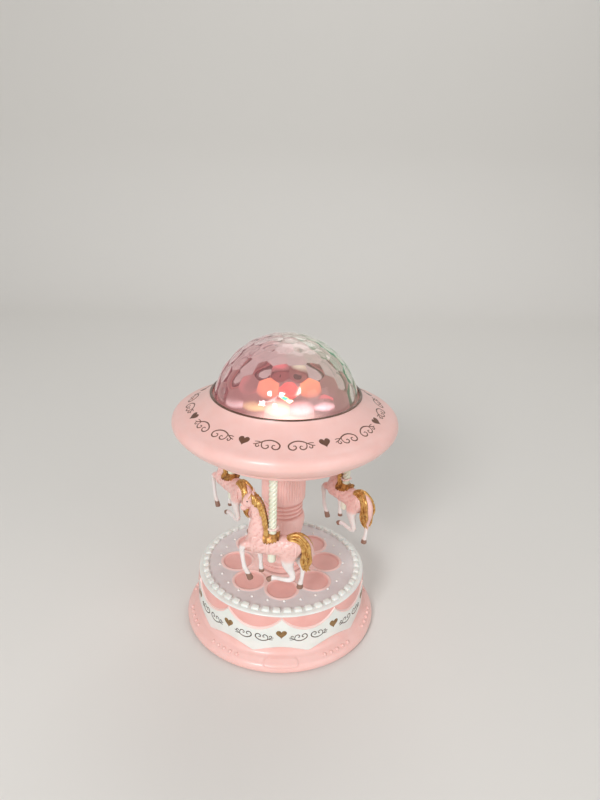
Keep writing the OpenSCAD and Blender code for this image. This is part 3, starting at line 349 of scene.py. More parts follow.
class Finish(Enum):
    """The named finishes of the music box."""

    # The main body: pale pink with a soft satin gleam.
    PINK = MouldedResin("pearl_pink_resin", "F4C7C0", "F2C2BA")
    # A deeper pink, so the swags stand off the band.
    SWAG = MouldedResin("swag_pink_resin", "EFB4AC", "ECAEA6")
    # A near-white pink for the drum's piping and the saddle's rim round the pole.
    BLUSH = MouldedResin("blush_resin", "F3D8D2", "EFCFC8")
    # A cool white that sets off the pinks.
    WHITE = MouldedResin("white_resin", "EDEFEA", "E6E9E4")
    # White ground under the painted grey, petals and rim.
    FLOWER = MouldedResin("flower_painted_resin", "FFFFFF", "F8F5F5", roughness=0.42, paint="flower_colour")
    # Glossy little balls with a bright point of light each.
    PEARL = MouldedResin("pearl_stud_resin", "F7F3EE", "F1ECE6", roughness=0.2, coat=0.8)
    # White ground under the painted coat, matt enough to show the curls.
    HORSE = MouldedResin("painted_horse_resin", "FFFFFF", "F4F0EE", roughness=0.42, peel_mm=1.1,
                         peel_depth=0.05, paint="coat_colour")
    # Greenish ivory lacquer, so the twist of the poles reads by its shading.
    IVORY = MouldedResin("ivory_pole_lacquer", "E9EAD8", "DEE0CB", roughness=0.3)
    # Dull bronze hearts that lift off the white.
    HEART = RubbedMetallic("bronze_heart_paint", "9C7C50", "7C5E3A", metallic=0.35, roughness=0.42)
    # Near-black brown scrolls on the drum.
    VINE = MouldedResin("dark_vine_paint", "5B4A3F", "4A3B32", roughness=0.45)
    # Warm brown hearts and scrolls on the roof.
    BROWN = MouldedResin("brown_roof_paint", "6E4733", "5E3B2A", roughness=0.42)
    # A dark glossy line that closes the foot of the dome.
    RING = MouldedResin("brown_ring_lacquer", "6A4634", "573827", roughness=0.25, coat=0.6)
    # Bright gold hair with darker valleys between the locks.
    GOLD = RubbedMetallic("gold_hair_paint", "DDB06A", "B98242", metallic=0.6, roughness=0.3, grain_mm=0.7)
    # A redder bronze, so the saddle parts from the mane.
    SADDLE = RubbedMetallic("bronze_saddle_paint", "C08B4C", "7A4C28", metallic=0.5)
    # A black bead with a wet point of light.
    EYE = MouldedResin("black_eye_gloss", "1C1512", "140F0C", roughness=0.12, coat=1.0)
    # Yellow turned wheels with circular tool marks.
    BRASS = WorkedMetal("turned_brass", "D9B36A", turned=True)
    # Pale zinc-plated screws and frames.
    STEEL = WorkedMetal("zinc_plated_steel", "C9CBCC", roughness=0.33)
    # Cold ground steel for the comb, spindle and clips.
    SPRING = WorkedMetal("ground_spring_steel", "A9ACB0", roughness=0.24)
    # The bright key, which mirrors its surroundings.
    NICKEL = WorkedMetal("polished_nickel", "D8D4CC", roughness=0.14)
    # Dull grey casting under the comb.
    CAST = WorkedMetal("cast_zinc", "8B8C8E", roughness=0.5)
    # Black feet that swallow the light.
    RUBBER = MouldedResin("black_rubber", "2A2A2A", "222222", roughness=0.8, coat=0.0, peel_depth=0.05)
    # Plain white moulding of the hidden covers.
    PLAIN = MouldedResin("white_moulding", "E8E7E3", "E1E0DB", roughness=0.5, coat=0.0)
    # Cream moulding of the small fly.
    FLY = MouldedResin("ivory_moulding", "E6DDBF", "DCD2B2", roughness=0.5, coat=0.0)
    # Dark green circuit board.
    BOARD = MouldedResin("green_board_lacquer", "1F6B45", "195A39", roughness=0.3)
    # Grey-blue sleeves of the two cells.
    CELL = MouldedResin("battery_sleeve", "59636B", "4E575F", roughness=0.3)
    # Red insulation of the lamp leads.
    LEAD = MouldedResin("red_lead_insulation", "B5352B", "A22E25", roughness=0.5, coat=0.0)
    # Clear lens dome with a painted glow: it emits faint rose low down and green at its right shoulder.
    DOME = ClearAcrylic("clear_acrylic_painted_glow", "F3E4E5",
                        ((0.0, "D98A90"), (0.45, "B88C92"), (0.64, "B4C8A8"), (0.82, "70E0A8")), 0.06)
    # Painted pools of lamp light, emitted by the plate, that each lens of the dome picks up as one colour;
    # the small red and white pair are painted glints of the lamp.
    REFLECTOR = PaintedLightSurface(
        "reflector_painted_light", "DFB0AC", ((0.0, -25.0, 24.0, 1.5, "FFE6D8"), (-4.0, -11.0, 9.0, 1.2, "FFF0D0"),
                                    (7.5, -11.0, 8.0, 1.1, "FFD4D8"), (-15.5, -10.0, 6.5, 1.2, "E0D090"),
                                    (19.5, -9.5, 5.0, 1.2, "FFE0E6"), (22.5, -1.0, 4.0, 1.3, "F04058"),
                                    (-25.0, -9.0, 7.0, 0.9, "E8D4D8"), (-7.0, 18.0, 8.0, 1.1, "FF8850"),
                                    (12.0, 19.0, 7.0, 1.2, "FF9050"), (1.6, 16.0, 2.0, 7.0, "FF1808"),
                                    (3.9, 16.5, 1.4, 3.5, "FFF0D8"), (-19.0, 17.0, 4.0, 0.4, "C05860"),
                                    (-4.0, 31.0, 6.0, 0.9, "F05060"), (8.0, 31.0, 6.0, 0.9, "D8F4D0")))
    # Three lit lamps.
    LAMPS = LampTrio("lit_lamps", ((0.0, "FF1810"), (0.222, "FFE6BE"), (0.556, "40E090"), (0.889, "FF1810")))
    # Pale paper.
    FLOOR = StudioPaper("pale_paper", "E2E0DC")


_made: dict[Finish, bpy.types.Material] = {}


def material_of(finish: Finish) -> bpy.types.Material:
    """Returns the material of a finish, made once."""
    if finish not in _made:
        _made[finish] = finish.value.build()
    return _made[finish]


# ---------------------------------------------------------------- surfaces


def smooth_step(x: Array) -> Array:
    """Smooth ramp 3x^2 - 2x^3 of x held between 0 and 1."""
    t = np.clip(x, 0.0, 1.0)
    return t * t * (3 - 2 * t)


def spline(points: Sequence[Sequence[float]], count: int) -> Array:
    """Samples a Catmull-Rom curve through points of any dimension.

    Between points p1 and p2 the curve is the cubic whose slopes are half the chords p0-p2 and p1-p3.

    Args:
        points: the points passed through, at least two.
        count: how many samples to return, evenly spread over the spans.
    Returns:
        An array of count rows.
    """
    p = np.asarray(points, float)
    padded = np.vstack([2 * p[0] - p[1], p, 2 * p[-1] - p[-2]])
    t = np.linspace(0, len(p) - 1 - 1e-9, count)
    i = t.astype(int)
    f = (t - i)[:, None]
    a, b, c, d = (padded[i + k] for k in range(4))
    return 0.5 * (2 * b + (c - a) * f + (2 * a - 5 * b + 4 * c - d) * f**2 + (3 * b - a - 3 * c + d) * f**3)


def turned(radius: Array, height: Array, columns: int) -> Array:
    """Surface of revolution: each profile point (r, z) is carried round the spindle.

    Args:
        radius: r of each profile row, or of each row and column.
        height: z of each profile row, or of each row and column.
        columns: number of steps round.
    Returns:
        Points as rows by columns by three.
    """
    turn = np.linspace(0, 2 * np.pi, columns, endpoint=False)
    r = np.broadcast_to(radius if radius.ndim == 2 else radius[:, None], (len(radius), columns))
    z = np.broadcast_to(height if height.ndim == 2 else height[:, None], (len(height), columns))
    return np.stack([r * np.cos(turn), r * np.sin(turn), z], axis=-1)


def tube(path: Array, half_width: Array, half_height: Array, sides: int, power: float = 1.0,
         level: bool = False) -> Array:
    """Sweeps an oval along a path.

    Section point k stands at angle a: across = w sign(cos a)|cos a|^power, up = h sign(sin a)|sin a|^power,
    in the plane square to the path. Across is kept level unless the path is near vertical and level is off.

    Args:
        path: points along the middle, rows by three.
        half_width: half the size across, one for each row.
        half_height: half the size in the plane of the path, one for each row.
        sides: points round the section.
        power: 1 for an ellipse, less for a fuller section.
        level: keep the across direction along the Y axis.
    Returns:
        Points as rows by sides by three.
    """
    along = np.gradient(path, axis=0)
    along /= np.linalg.norm(along, axis=1, keepdims=True) + 1e-12
    if level:
        across = np.broadcast_to(np.array([0.0, 1.0, 0.0]), along.shape)
        across = across - along * (across * along).sum(1, keepdims=True)
    else:
        hint = np.where(np.abs(along[:, 2:3]) > 0.9, np.array([[0.0, 1.0, 0.0]]), np.array([[0.0, 0.0, 1.0]]))
        across = np.cross(along, hint)
    across /= np.linalg.norm(across, axis=1, keepdims=True) + 1e-12
    up = np.cross(across, along)
    a = np.linspace(0, 2 * np.pi, sides, endpoint=False)
    cos = np.sign(np.cos(a)) * np.abs(np.cos(a)) ** power
    sin = np.sign(np.sin(a)) * np.abs(np.sin(a)) ** power
    return (path[:, None] + across[:, None] * (half_width[:, None, None] * cos[None, :, None])
            + up[:, None] * (half_height[:, None, None] * sin[None, :, None]))


def pillow(size: Sequence[float], power: float, rows: int = 9, columns: int = 16) -> Array:
    """Superellipsoid x = sx C(v)C(u), y = sy C(v)S(u), z = sz S(v), where C and S are cosines and sines
    raised to the power with their sign kept; a power under one gives a box with round edges.

    Args:
        size: half-sizes along x, y and z.
        power: roundness, 1 for an ellipsoid.
        rows: rings from bottom to top.
        columns: points round.
    Returns:
        Points as rows by columns by three, centred on the origin.
    """
    v = np.linspace(-np.pi / 2 + 0.08, np.pi / 2 - 0.08, rows)[:, None]
    u = np.linspace(0, 2 * np.pi, columns, endpoint=False)[None]

    def curve(x: Array) -> Array:
        """Raises a sine or cosine to the power with its sign kept."""
        return np.sign(x) * np.abs(x) ** power

    return np.stack([size[0] * curve(np.cos(v)) * curve(np.cos(u)), size[1] * curve(np.cos(v))
                     * curve(np.sin(u)), size[2] * curve(np.sin(v)) * np.ones_like(u)], axis=-1)


def turn_z(points: Array, degrees: float) -> Array:
    """Turns points about the Z axis."""
    a = math.radians(degrees)
    spin = np.array([[math.cos(a), math.sin(a), 0], [-math.sin(a), math.cos(a), 0], [0, 0, 1]])
    return points @ spin


@dataclass
class Piece:
    """One visible piece: surfaces are gathered in it, then it is made and put on its body."""

    name: str
    body: str
    slot: str
    finishes: list[Finish]
    replaces: tuple[str, ...] = ()
    sharp: float = 40.0
    points: list[Array] = field(default_factory=list)
    faces: list[Any] = field(default_factory=list)
    marks: list[int] = field(default_factory=list)
    total: int = 0

    def grid(self, p: Array, mark: int | Array = 0, wrap_rows: bool = False, wrap_columns: bool = True,
             caps: bool = True) -> None:
        """Adds a grid surface.

        Args:
            p: rows by columns by three points, in millimetres.
            mark: number of the finish, one for all or one for each row of faces.
            wrap_rows: join the last row to the first.
            wrap_columns: join the last column to the first.
            caps: close both ends with a fan when the rows are not joined.
        """
        rows, columns = p.shape[:2]
        r = np.arange(rows if wrap_rows else rows - 1)[:, None]
        c = np.arange(columns if wrap_columns else columns - 1)[None]
        after_r, after_c = (r + 1) % rows, (c + 1) % columns
        quads = np.stack(
            [r * columns + c, r * columns + after_c, after_r * columns + after_c, after_r * columns + c], -1)
        marks = np.broadcast_to(np.asarray(mark).reshape(-1, 1), quads.shape[:2])
        self.points.append(p.reshape(-1, 3))
        self.faces.extend((quads.reshape(-1, 4) + self.total).tolist())
        self.marks.extend(marks.reshape(-1).tolist())
        ends = [] if wrap_rows or not caps or not wrap_columns else [(0, 0), (rows - 1, len(quads) - 1)]
        start = self.total
        self.total += rows * columns
        for row, near in ends:
            ring = start + row * columns + np.arange(columns)
            self.points.append(p[row].mean(0)[None])
            fan = np.stack([ring, np.roll(ring, -1), np.full(columns, self.total)], -1)
            self.faces.extend(fan.tolist())
            self.marks.extend([int(marks[near, 0])] * columns)
            self.total += 1

    def vertices(self) -> Array:
        """Returns all points so far, in millimetres."""
        return np.vstack(self.points)

    def mesh(self) -> bpy.types.Mesh:
        """Makes the mesh, with its faces turned outwards and smooth shading up to the sharp angle."""
        mesh = bpy.data.meshes.new(self.name)
        mesh.from_pydata((self.vertices() * MM).tolist(), [], self.faces)
        mesh.polygons.foreach_set("material_index", self.marks)
        bm = bmesh.new()
        bm.from_mesh(mesh)
        bmesh.ops.recalc_face_normals(bm, faces=bm.faces)
        bm.to_mesh(mesh)
        bm.free()
        mesh.shade_smooth()
        mesh.set_sharp_from_angle(angle=math.radians(self.sharp))
        return mesh

    def make(self) -> bpy.types.Object:
        """Makes the object and puts it on its body."""
        return self.place(bpy.data.objects.new(self.name, self.mesh()))

    def place(self, item: bpy.types.Object) -> bpy.types.Object:
        """Links the object, dresses it and joins it to the frame.

        Args:
            item: the finished object.
        Returns:
            The same object.
        """
        if item.name not in bpy.context.scene.collection.objects:
            bpy.context.scene.collection.objects.link(item)
        for finish in self.finishes:
            item.data.materials.append(material_of(finish))
        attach(item, self.body)
        if self.replaces:
            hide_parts(*self.replaces)
        log.info("%s: %d faces", self.name, len(item.data.polygons))
        return item


# ---------------------------------------------------------------- painted ornament


SurfaceMap = Callable[[Array, Array, Array], Array]


@dataclass(frozen=True)
class Ornament:
    """Hearts and vine scrolls laid on a surface as thin raised paint.

    A surface map takes across, up and lift, all in millimetres, and gives points in the frame.
    """

    heart_half: float = 2.9
    line: float = 0.26
    lift: float = 0.12
    scale: float = 1.0

    def heart(self, piece: Piece, at: SurfaceMap, mark: int, flip: float = 1.0) -> None:
        """Adds one heart: x = 16 sin^3 t, y = 13 cos t - 5 cos 2t - 2 cos 3t - cos 4t, shrunk ring by ring
        to its middle while it rises by 1 - s^4.

        Args:
            piece: the piece that gets the surface.
            at: the surface map, with its origin at the heart's middle.
            mark: number of the finish.
            flip: 1 with the point down, -1 with the point up.
        """
        t = np.linspace(0, 2 * np.pi, 44, endpoint=False)
        x = 16 * np.sin(t) ** 3 / 16 * self.heart_half
        y = (13 * np.cos(t) - 5 * np.cos(2 * t) - 2 * np.cos(3 * t) - np.cos(4 * t)
             + 2.5) / 16 * self.heart_half * flip
        s = np.array([1.0, 1.0, 0.94, 0.8, 0.5, 0.2])[:, None]
        h = np.array([-0.15, 0.02, 0.07, 0.1, 0.12, 0.125])[:, None] + 0 * t
        piece.grid(at(x * s, y * s, h * self.lift / 0.12), mark)

    def stroke(self, piece: Piece, at: SurfaceMap, mark: int, points: Sequence[Sequence[float]], side: float,
               up: float, width: float = 1.0) -> None:
        """Adds one brush stroke: a half-round ridge along a curve, thin at both ends.

        Args:
            piece: the piece that gets the surface.
            at: the surface map.
            mark: number of the finish.
            points: across and up of the stroke's middle line.
            side: 1 or -1, mirrors the stroke across.
            up: 1 or -1, mirrors it up and down.
            width: how broad the brush is against the usual line.
        """
        line = spline(points, 9 * len(points)) * self.scale
        t = np.linspace(0, 1, len(line))
        w = self.line * width * (0.45 + 0.75 * np.sin(np.pi * np.clip(t * 0.94 + 0.03, 0, 1)) ** 0.6)
        along = np.gradient(line, axis=0)
        along /= np.linalg.norm(along, axis=1, keepdims=True)
        a = np.linspace(0, 2 * np.pi, 8, endpoint=False)
        across = w[:, None] * np.cos(a)
        x = (line[:, :1] - along[:, 1:] * across) * side
        y = (line[:, 1:] + along[:, :1] * across) * up
        piece.grid(at(x, y, np.sin(a) * self.lift + 0 * x), mark)

    def scroll(self, piece: Piece, at: SurfaceMap, mark: int, side: float, up: float) -> None:
        """Adds one vine scroll beside a heart: a long sweep into an open spiral with two small tendrils.

        Args:
            piece: the piece that gets the surface.
            at: the surface map, with its origin at the heart's middle.
            mark: number of the finish.
            side: 1 or -1, the side of the heart it lies on.
            up: 1 or -1, which way its spiral opens.
        """
        sweep = [(4.0, 0.35), (5.2, 0.05), (6.6, -0.75), (8.2, -1.65), (10.2, -2.0), (12.2, -1.45),
                 (13.6, -0.1), (13.3, 1.45), (12.0, 1.95), (10.95, 1.2), (11.15, 0.2), (12.0, 0.2)]
        curl = [(7.2, -1.15), (7.0, 0.1), (7.5, 1.35), (8.7, 1.85), (9.6, 1.15), (9.3, 0.25), (8.6, 0.45)]
        sprig = [(5.3, -0.15), (5.0, 0.75), (5.5, 1.35), (6.2, 1.0), (6.0, 0.45)]
        twig = [(4.3, -0.9), (5.4, -1.0), (6.6, -0.85)]
        for line, width in ((sweep, 1.0), (curl, 0.85), (sprig, 0.75), (twig, 0.65)):
            self.stroke(piece, at, mark, line, side, up, width)


# ---------------------------------------------------------------- base


@dataclass
class Drum:
    """The base: a flange with beads and blank plaques, a scalloped white band and hanging swags."""

    wall_r: float = 48.0
    top_z: float = DECK_TOP - 1.0
    swags: int = 10
    swag_low_z: float = 23.0
    swag_rise: float = 7.7
    band_low_z: float = 9.0
    band_rise: float = 3.5
    columns: int = 720
    bead_r: float = 1.0

    def fold(self) -> Array:
        """Angle of each column from the middle of its swag, in degrees, within half a step."""
        step = 360 / self.swags
        turn = np.arange(self.columns) * 360 / self.columns
        return (turn + 90) % step - step / 2

    def swag_edge(self) -> Array:
        """Height of the swags' lower edge: a circular arc hung between two hearts."""
        half = self.wall_r * math.sin(math.pi / self.swags)
        bow = (half * half + self.swag_rise**2) / (2 * self.swag_rise)
        across = self.wall_r * np.sin(np.radians(self.fold()))
        return self.swag_low_z + bow - np.sqrt(bow * bow - across**2)

    def band_edge(self) -> Array:
        """Height of the white band's lower edge: scallops, z = low + rise |sin|^1.3 of the folded angle."""
        return self.band_low_z + self.band_rise * np.abs(
            np.sin(np.radians(self.fold() * self.swags / 2))) ** 1.3

    def skin(self) -> None:
        """Builds the drum and flange: fixed rows up to the slope, then rows that follow the two edges."""
        foot = spline([(52.6, 0.8), (53.9, 0.85), (54.8, 1.5), (55.0, 2.4), (54.95, 3.4), (54.5, 4.5),
                       (53.7, 5.5), (52.2, 6.5), (50.9, 7.4)], 34)
        n = self.columns
        turn = np.arange(n) * 360 / n
        r = [np.full(n, x) for x in foot[:, 0]]
        z = [np.full(n, x) for x in foot[:, 1]]
        low, edge = self.band_edge(), self.swag_edge()
        marks = [0] * len(foot)

        def wall(height: Array) -> Array:
            """Radius of the wall: a quarter-round fillet into an upright cylinder."""
            t = np.clip((10.9 - height) / 3.5, 0, 1)
            return self.wall_r + 2.9 * (1 - np.sqrt(np.clip(1 - t * t, 0, 1)))

        for t in np.linspace(0.08, 1, 5):
            z.append(7.4 + (low - 7.4) * t)
            r.append(wall(z[-1]))
            marks.append(0)
        for t in np.concatenate([[0.012, 0.03, 0.06], np.linspace(0.12, 1, 14)]):
            z.append(low + (edge - low) * t)
            r.append(wall(z[-1]) + 0.28 * smooth_step((z[-1] - low) / 0.5))
            marks.append(1)
        for t in np.linspace(0.12, 1, 9):
            z.append(np.minimum(edge + 1.25 * t, self.top_z - 0.02))
            r.append(np.full(n, self.wall_r + 0.28 * (1 - t) + 0.5 * math.sin(math.pi * t) ** 0.7))
            marks.append(2)
        start = z[-1].copy()
        for t in np.linspace(0.04, 1, 10):
            z.append(start + (self.top_z - start) * t)
            depth = np.clip((self.top_z - start) / 7.0, 0, 1)
            r.append(self.wall_r - 0.12 + 0.32 * depth * math.sin(math.pi * min(1.0, t * 0.8 + 0.1)))
            marks.append(3)
        for inner_r, inner_z in (
            (45.8, self.top_z), (45.8, 9.6), (49.6, 5.4), (49.6, 3.2), (52.2, 3.2), (52.2, 0.8)):
            r.append(np.full(n, inner_r))
            z.append(np.full(n, inner_z))
            marks.append(0)
        radius, height = np.array(r), np.array(z)
        plaque = np.zeros_like(radius)
        for middle in (-90.0, 90.0):
            off = (turn - middle + 180) % 360 - 180
            across = np.radians(off) * 53 / 9.4
            up = (height[: len(foot)] - 6.0) / 1.75
            shape = np.abs(across[None]) ** 5 + np.abs(up) ** 3
            plaque[: len(foot)] += 0.75 * smooth_step((1.15 - shape) / 0.5) * (height[: len(foot)] > 3.4)
        radius = radius + plaque * 0.75
        height = height + plaque * 0.6
        piece = Piece("drum_skin", "base", "pearl_pink",
                      [Finish.PINK, Finish.WHITE, Finish.BLUSH, Finish.SWAG], ("base_shell",), sharp=50)
        piece.grid(turned(radius, height, n), np.array(marks), wrap_rows=True)
        for k in range(self.swags):
            if k % (self.swags // 2):
                for j in range(-2, 3):
                    bead = pillow((self.bead_r, self.bead_r, self.bead_r), 1.0, 9, 14) + [52.3, 0, 6.5]
                    piece.grid(turn_z(bead, -90 + 36 * k + 4.5 * j))
        piece.make()

    def painted(self) -> None:
        """Adds the hearts and the scrolls on the white band."""
        piece = Piece("band_ornament", "base", "pearl_pink", [Finish.HEART, Finish.VINE])
        art = Ornament(scale=1.02)
        for k in range(self.swags):
            turn = math.radians(-90 + 36 * k)

            def at(x: Array, y: Array, h: Array, middle: float = 20.9) -> Array:
                """Wraps the flat drawing round the wall."""
                a = turn + x / self.wall_r
                r = self.wall_r + 0.28 + h
                return np.stack([r * np.cos(a), r * np.sin(a), middle + y + 0 * x], -1)

            art.heart(piece, at, 0)
            for side in (-1, 1):
                art.scroll(piece, lambda x, y, h: at(x, y, h, 18.4), 1, side, 1)
        piece.make()

    def build(self) -> None:
        """Builds every piece of the drum."""
        self.skin()
        self.painted()


@dataclass
class Deck:
    """The deck: grey-white floor with a sunk flower, round studs and a rim of white blocks."""

    petals: int = 8
    petal_ring: float = 25.6
    petal_r: float = 8.9
    heart_r: float = 15.0
    blocks: int = 48
    studs: int = 25
    stud_ring: float = 36.0
    columns: int = 720

    def flower(self, x: Array, y: Array) -> tuple[Array, Array]:
        """Signed distances in millimetres to the petals' edge and to the middle disc's edge.

        The angle is folded to one petal, so the distance is to a single circle.

        Args:
            x: across.
            y: along.
        Returns:
            Distance to the nearest petal's circle and to the disc, negative inside.
        """
        r = np.hypot(x, y)
        step = 2 * np.pi / self.petals
        a = (np.arctan2(y, x) + np.pi / 2 + step / 2) % step - step / 2
        return np.hypot(r * np.cos(a) - self.petal_ring, r * np.sin(a)) - self.petal_r, r - self.heart_r

    def plate(self) -> None:
        """Builds the floor as a height field on a polar grid, with its rim and underside closed."""
        inner = np.linspace(3.05, 42.6, 116)
        turn = np.linspace(0, 2 * np.pi, self.columns, endpoint=False)
        x, y = inner[:, None] * np.cos(turn), inner[:, None] * np.sin(turn)
        petal, disc = self.flower(x, y)
        inside = np.minimum(petal, disc)
        ridge = np.exp(-((petal / 0.75) ** 2)) * smooth_step((disc - 0.3) / 1.0)
        sunk = smooth_step((-petal - 0.5) / 0.9) * smooth_step((disc - 0.2) / 0.9)
        height = DECK_TOP + 0.55 * ridge - 0.55 * sunk
        height = height + 0.35 * smooth_step(-disc / 1.2) + 0.12 * smooth_step(-inside)
        radius = np.broadcast_to(inner[:, None], height.shape)
        edge = np.array(
            [(44.0, 33.0), (46.0, 33.05), (46.9, 32.95), (47.5, 32.7), (47.85, 32.3), (47.9, 32.03),
             (45.5, 32.03), (45.5, 31.0), (45.5, 28.0), (43.5, 28.0), (43.5, 31.0), (3.05, 31.0)])
        ones = np.ones((1, self.columns))
        p = turned(
            np.vstack([radius, edge[:, :1] * ones]), np.vstack([height, edge[:, 1:] * ones]), self.columns)
        rows = len(p)
        petal_rows = np.vstack([petal, np.full((rows - len(petal), self.columns), 9.0)])
        disc_rows = np.vstack([disc, np.full((rows - len(disc), self.columns), 9.0)])
        piece = Piece("deck_floor", "base", "deck_grey", [Finish.FLOWER], ("deck_plate",))
        piece.grid(p, wrap_rows=True)
        mesh = piece.mesh()
        tint = self.tint(petal_rows.reshape(-1), disc_rows.reshape(-1), p.reshape(-1, 3))
        layer = mesh.color_attributes.new("flower_colour", "FLOAT_COLOR", "POINT")
        layer.data.foreach_set("color", tint.reshape(-1))
        piece.place(bpy.data.objects.new("deck_floor", mesh))

    def tint(self, petal: Array, disc: Array, p: Array) -> Array:
        """Colour of each point: petals darkest, their ridges and the disc lighter, the rim white.

        Args:
            petal: distance to the petals.
            disc: distance to the middle disc.
            p: the points.
        Returns:
            Linear RGBA for each point.
        """
        floor, pale, dark, white = (np.array(linear(c)) for c in ("DED8D8", "F5D2CB", "ECB6AE", "EDEFEA"))
        r = np.hypot(p[:, 0], p[:, 1])[:, None]
        petal, disc = petal[:, None], disc[:, None]
        flower = np.minimum(np.minimum(petal - 0.9, disc - 0.5), r - 20.5)
        colour = floor + (pale - floor) * smooth_step(0.5 - flower / 0.5)
        sunk = smooth_step((-petal - 0.45) / 0.5) * smooth_step((disc - 0.4) / 0.5)
        colour = colour + (dark - colour) * sunk
        rim = smooth_step((r - 42.3) / 0.5)
        return colour + (white - colour) * rim

    def trim(self) -> None:
        """Adds the rim's blocks and the studs."""
        rim = Piece("deck_rim_blocks", "base", "deck_grey", [Finish.WHITE])
        for k in range(self.blocks):
            block = pillow((1.62, 2.12, 1.75), 0.42, 9, 16)
            block[..., 1] *= 1 + 0.045 * block[..., 0]
            block[..., 2] += DECK_TOP - 0.12 - 0.14 * (block[..., 0] + 1.6)
            rim.grid(turn_z(block + [43.95, 0, 0], (k + 0.5) * 360 / self.blocks))
        rim.make()
        studs = Piece("deck_studs", "base", "deck_grey", [Finish.PEARL])
        for k in range(self.studs):
            stud = pillow((0.78, 0.78, 0.7), 1.0, 9, 14) + [self.stud_ring, 0, DECK_TOP + 0.05]
            studs.grid(turn_z(stud, -88 + k * 360 / self.studs))
        studs.make()

    def build(self) -> None:
        """Builds every piece of the deck."""
        self.plate()
        self.trim()


# ---------------------------------------------------------------- column and roof


@dataclass
class Column:
    """The turned column, moulded in two halves with a fine seam."""

    foot_z: float = 36.8
    height: float = 77.5
    columns: int = 432
    flutes: int = 48
    seam: float = -92.0

    def skin(self) -> None:
        """Builds the column: radius = profile - flute depth x |cos|, with a groove along both seams."""
        z0 = self.foot_z
        bead = ((9.7, -0.85), (10.8, -0.4), (11.1, 0.2), (10.8, 0.8), (9.7, 1.2))
        rings = [(r, z0 + 32.2 + 2.4 * k + dz) for k in range(3) for r, dz in bead]
        outline = spline([(12.5, z0), (12.6, z0 + 0.7), (12.3, z0 + 1.3), (10.6, z0 + 2.4), (9.7, z0 + 4.4),
                          (9.6, z0 + 8), (9.9, z0 + 13), (10.9, z0 + 19), (12.0, z0 + 24.5), (12.3, z0 + 28),
                          (11.7, z0 + 30.4), (10.2, z0 + 31.0)], 70)
        mid = spline(rings, 80)
        top = spline([(9.8, z0 + 38.6), (10.9, z0 + 39.0), (12.0, z0 + 40.4), (12.3, z0 + 42),
                      (12.3, z0 + 52), (12.3, z0 + 62), (12.3, z0 + 68), (12.1, z0 + 70.5), (12.5, z0 + 73),
                      (12.9, z0 + 75), (12.9, z0 + self.height)], 90)
        profile = np.vstack([outline, mid, top])
        profile[:, 1] = np.maximum.accumulate(profile[:, 1])
        turn = np.arange(self.columns) * 2 * np.pi / self.columns
        r, z = profile[:, :1], profile[:, 1:]
        band = smooth_step((z - z0 - 41.5) / 2.5) * smooth_step((z0 + 69.5 - z) / 2.5)
        flute = 0.42 * band * np.abs(np.sin(turn * self.flutes / 2)) ** 0.6
        lower = smooth_step((z - z0 - 15) / 4) * smooth_step((z0 + 30 - z) / 3)
        flute = flute + 0.12 * lower * np.abs(np.sin(turn * self.flutes / 2))
        off = (turn - math.radians(self.seam) + np.pi / 2) % np.pi - np.pi / 2
        groove = 0.35 * np.exp(-((off * 12.3 / 0.2) ** 2))
        radius = r - 0.42 * band + flute - groove
        inner = np.full((2, self.columns), 8.3)
        heights = np.vstack([np.broadcast_to(z, radius.shape), np.full((1, self.columns), z0 + self.height),
                             np.full((1, self.columns), z0)])
        piece = Piece("column_skin", "carousel", "pearl_pink", [Finish.PINK],
                      ("column_left_half", "column_right_half"), sharp=60)
        piece.grid(turned(np.vstack([radius, inner]), heights, self.columns), wrap_rows=True)
        piece.make()


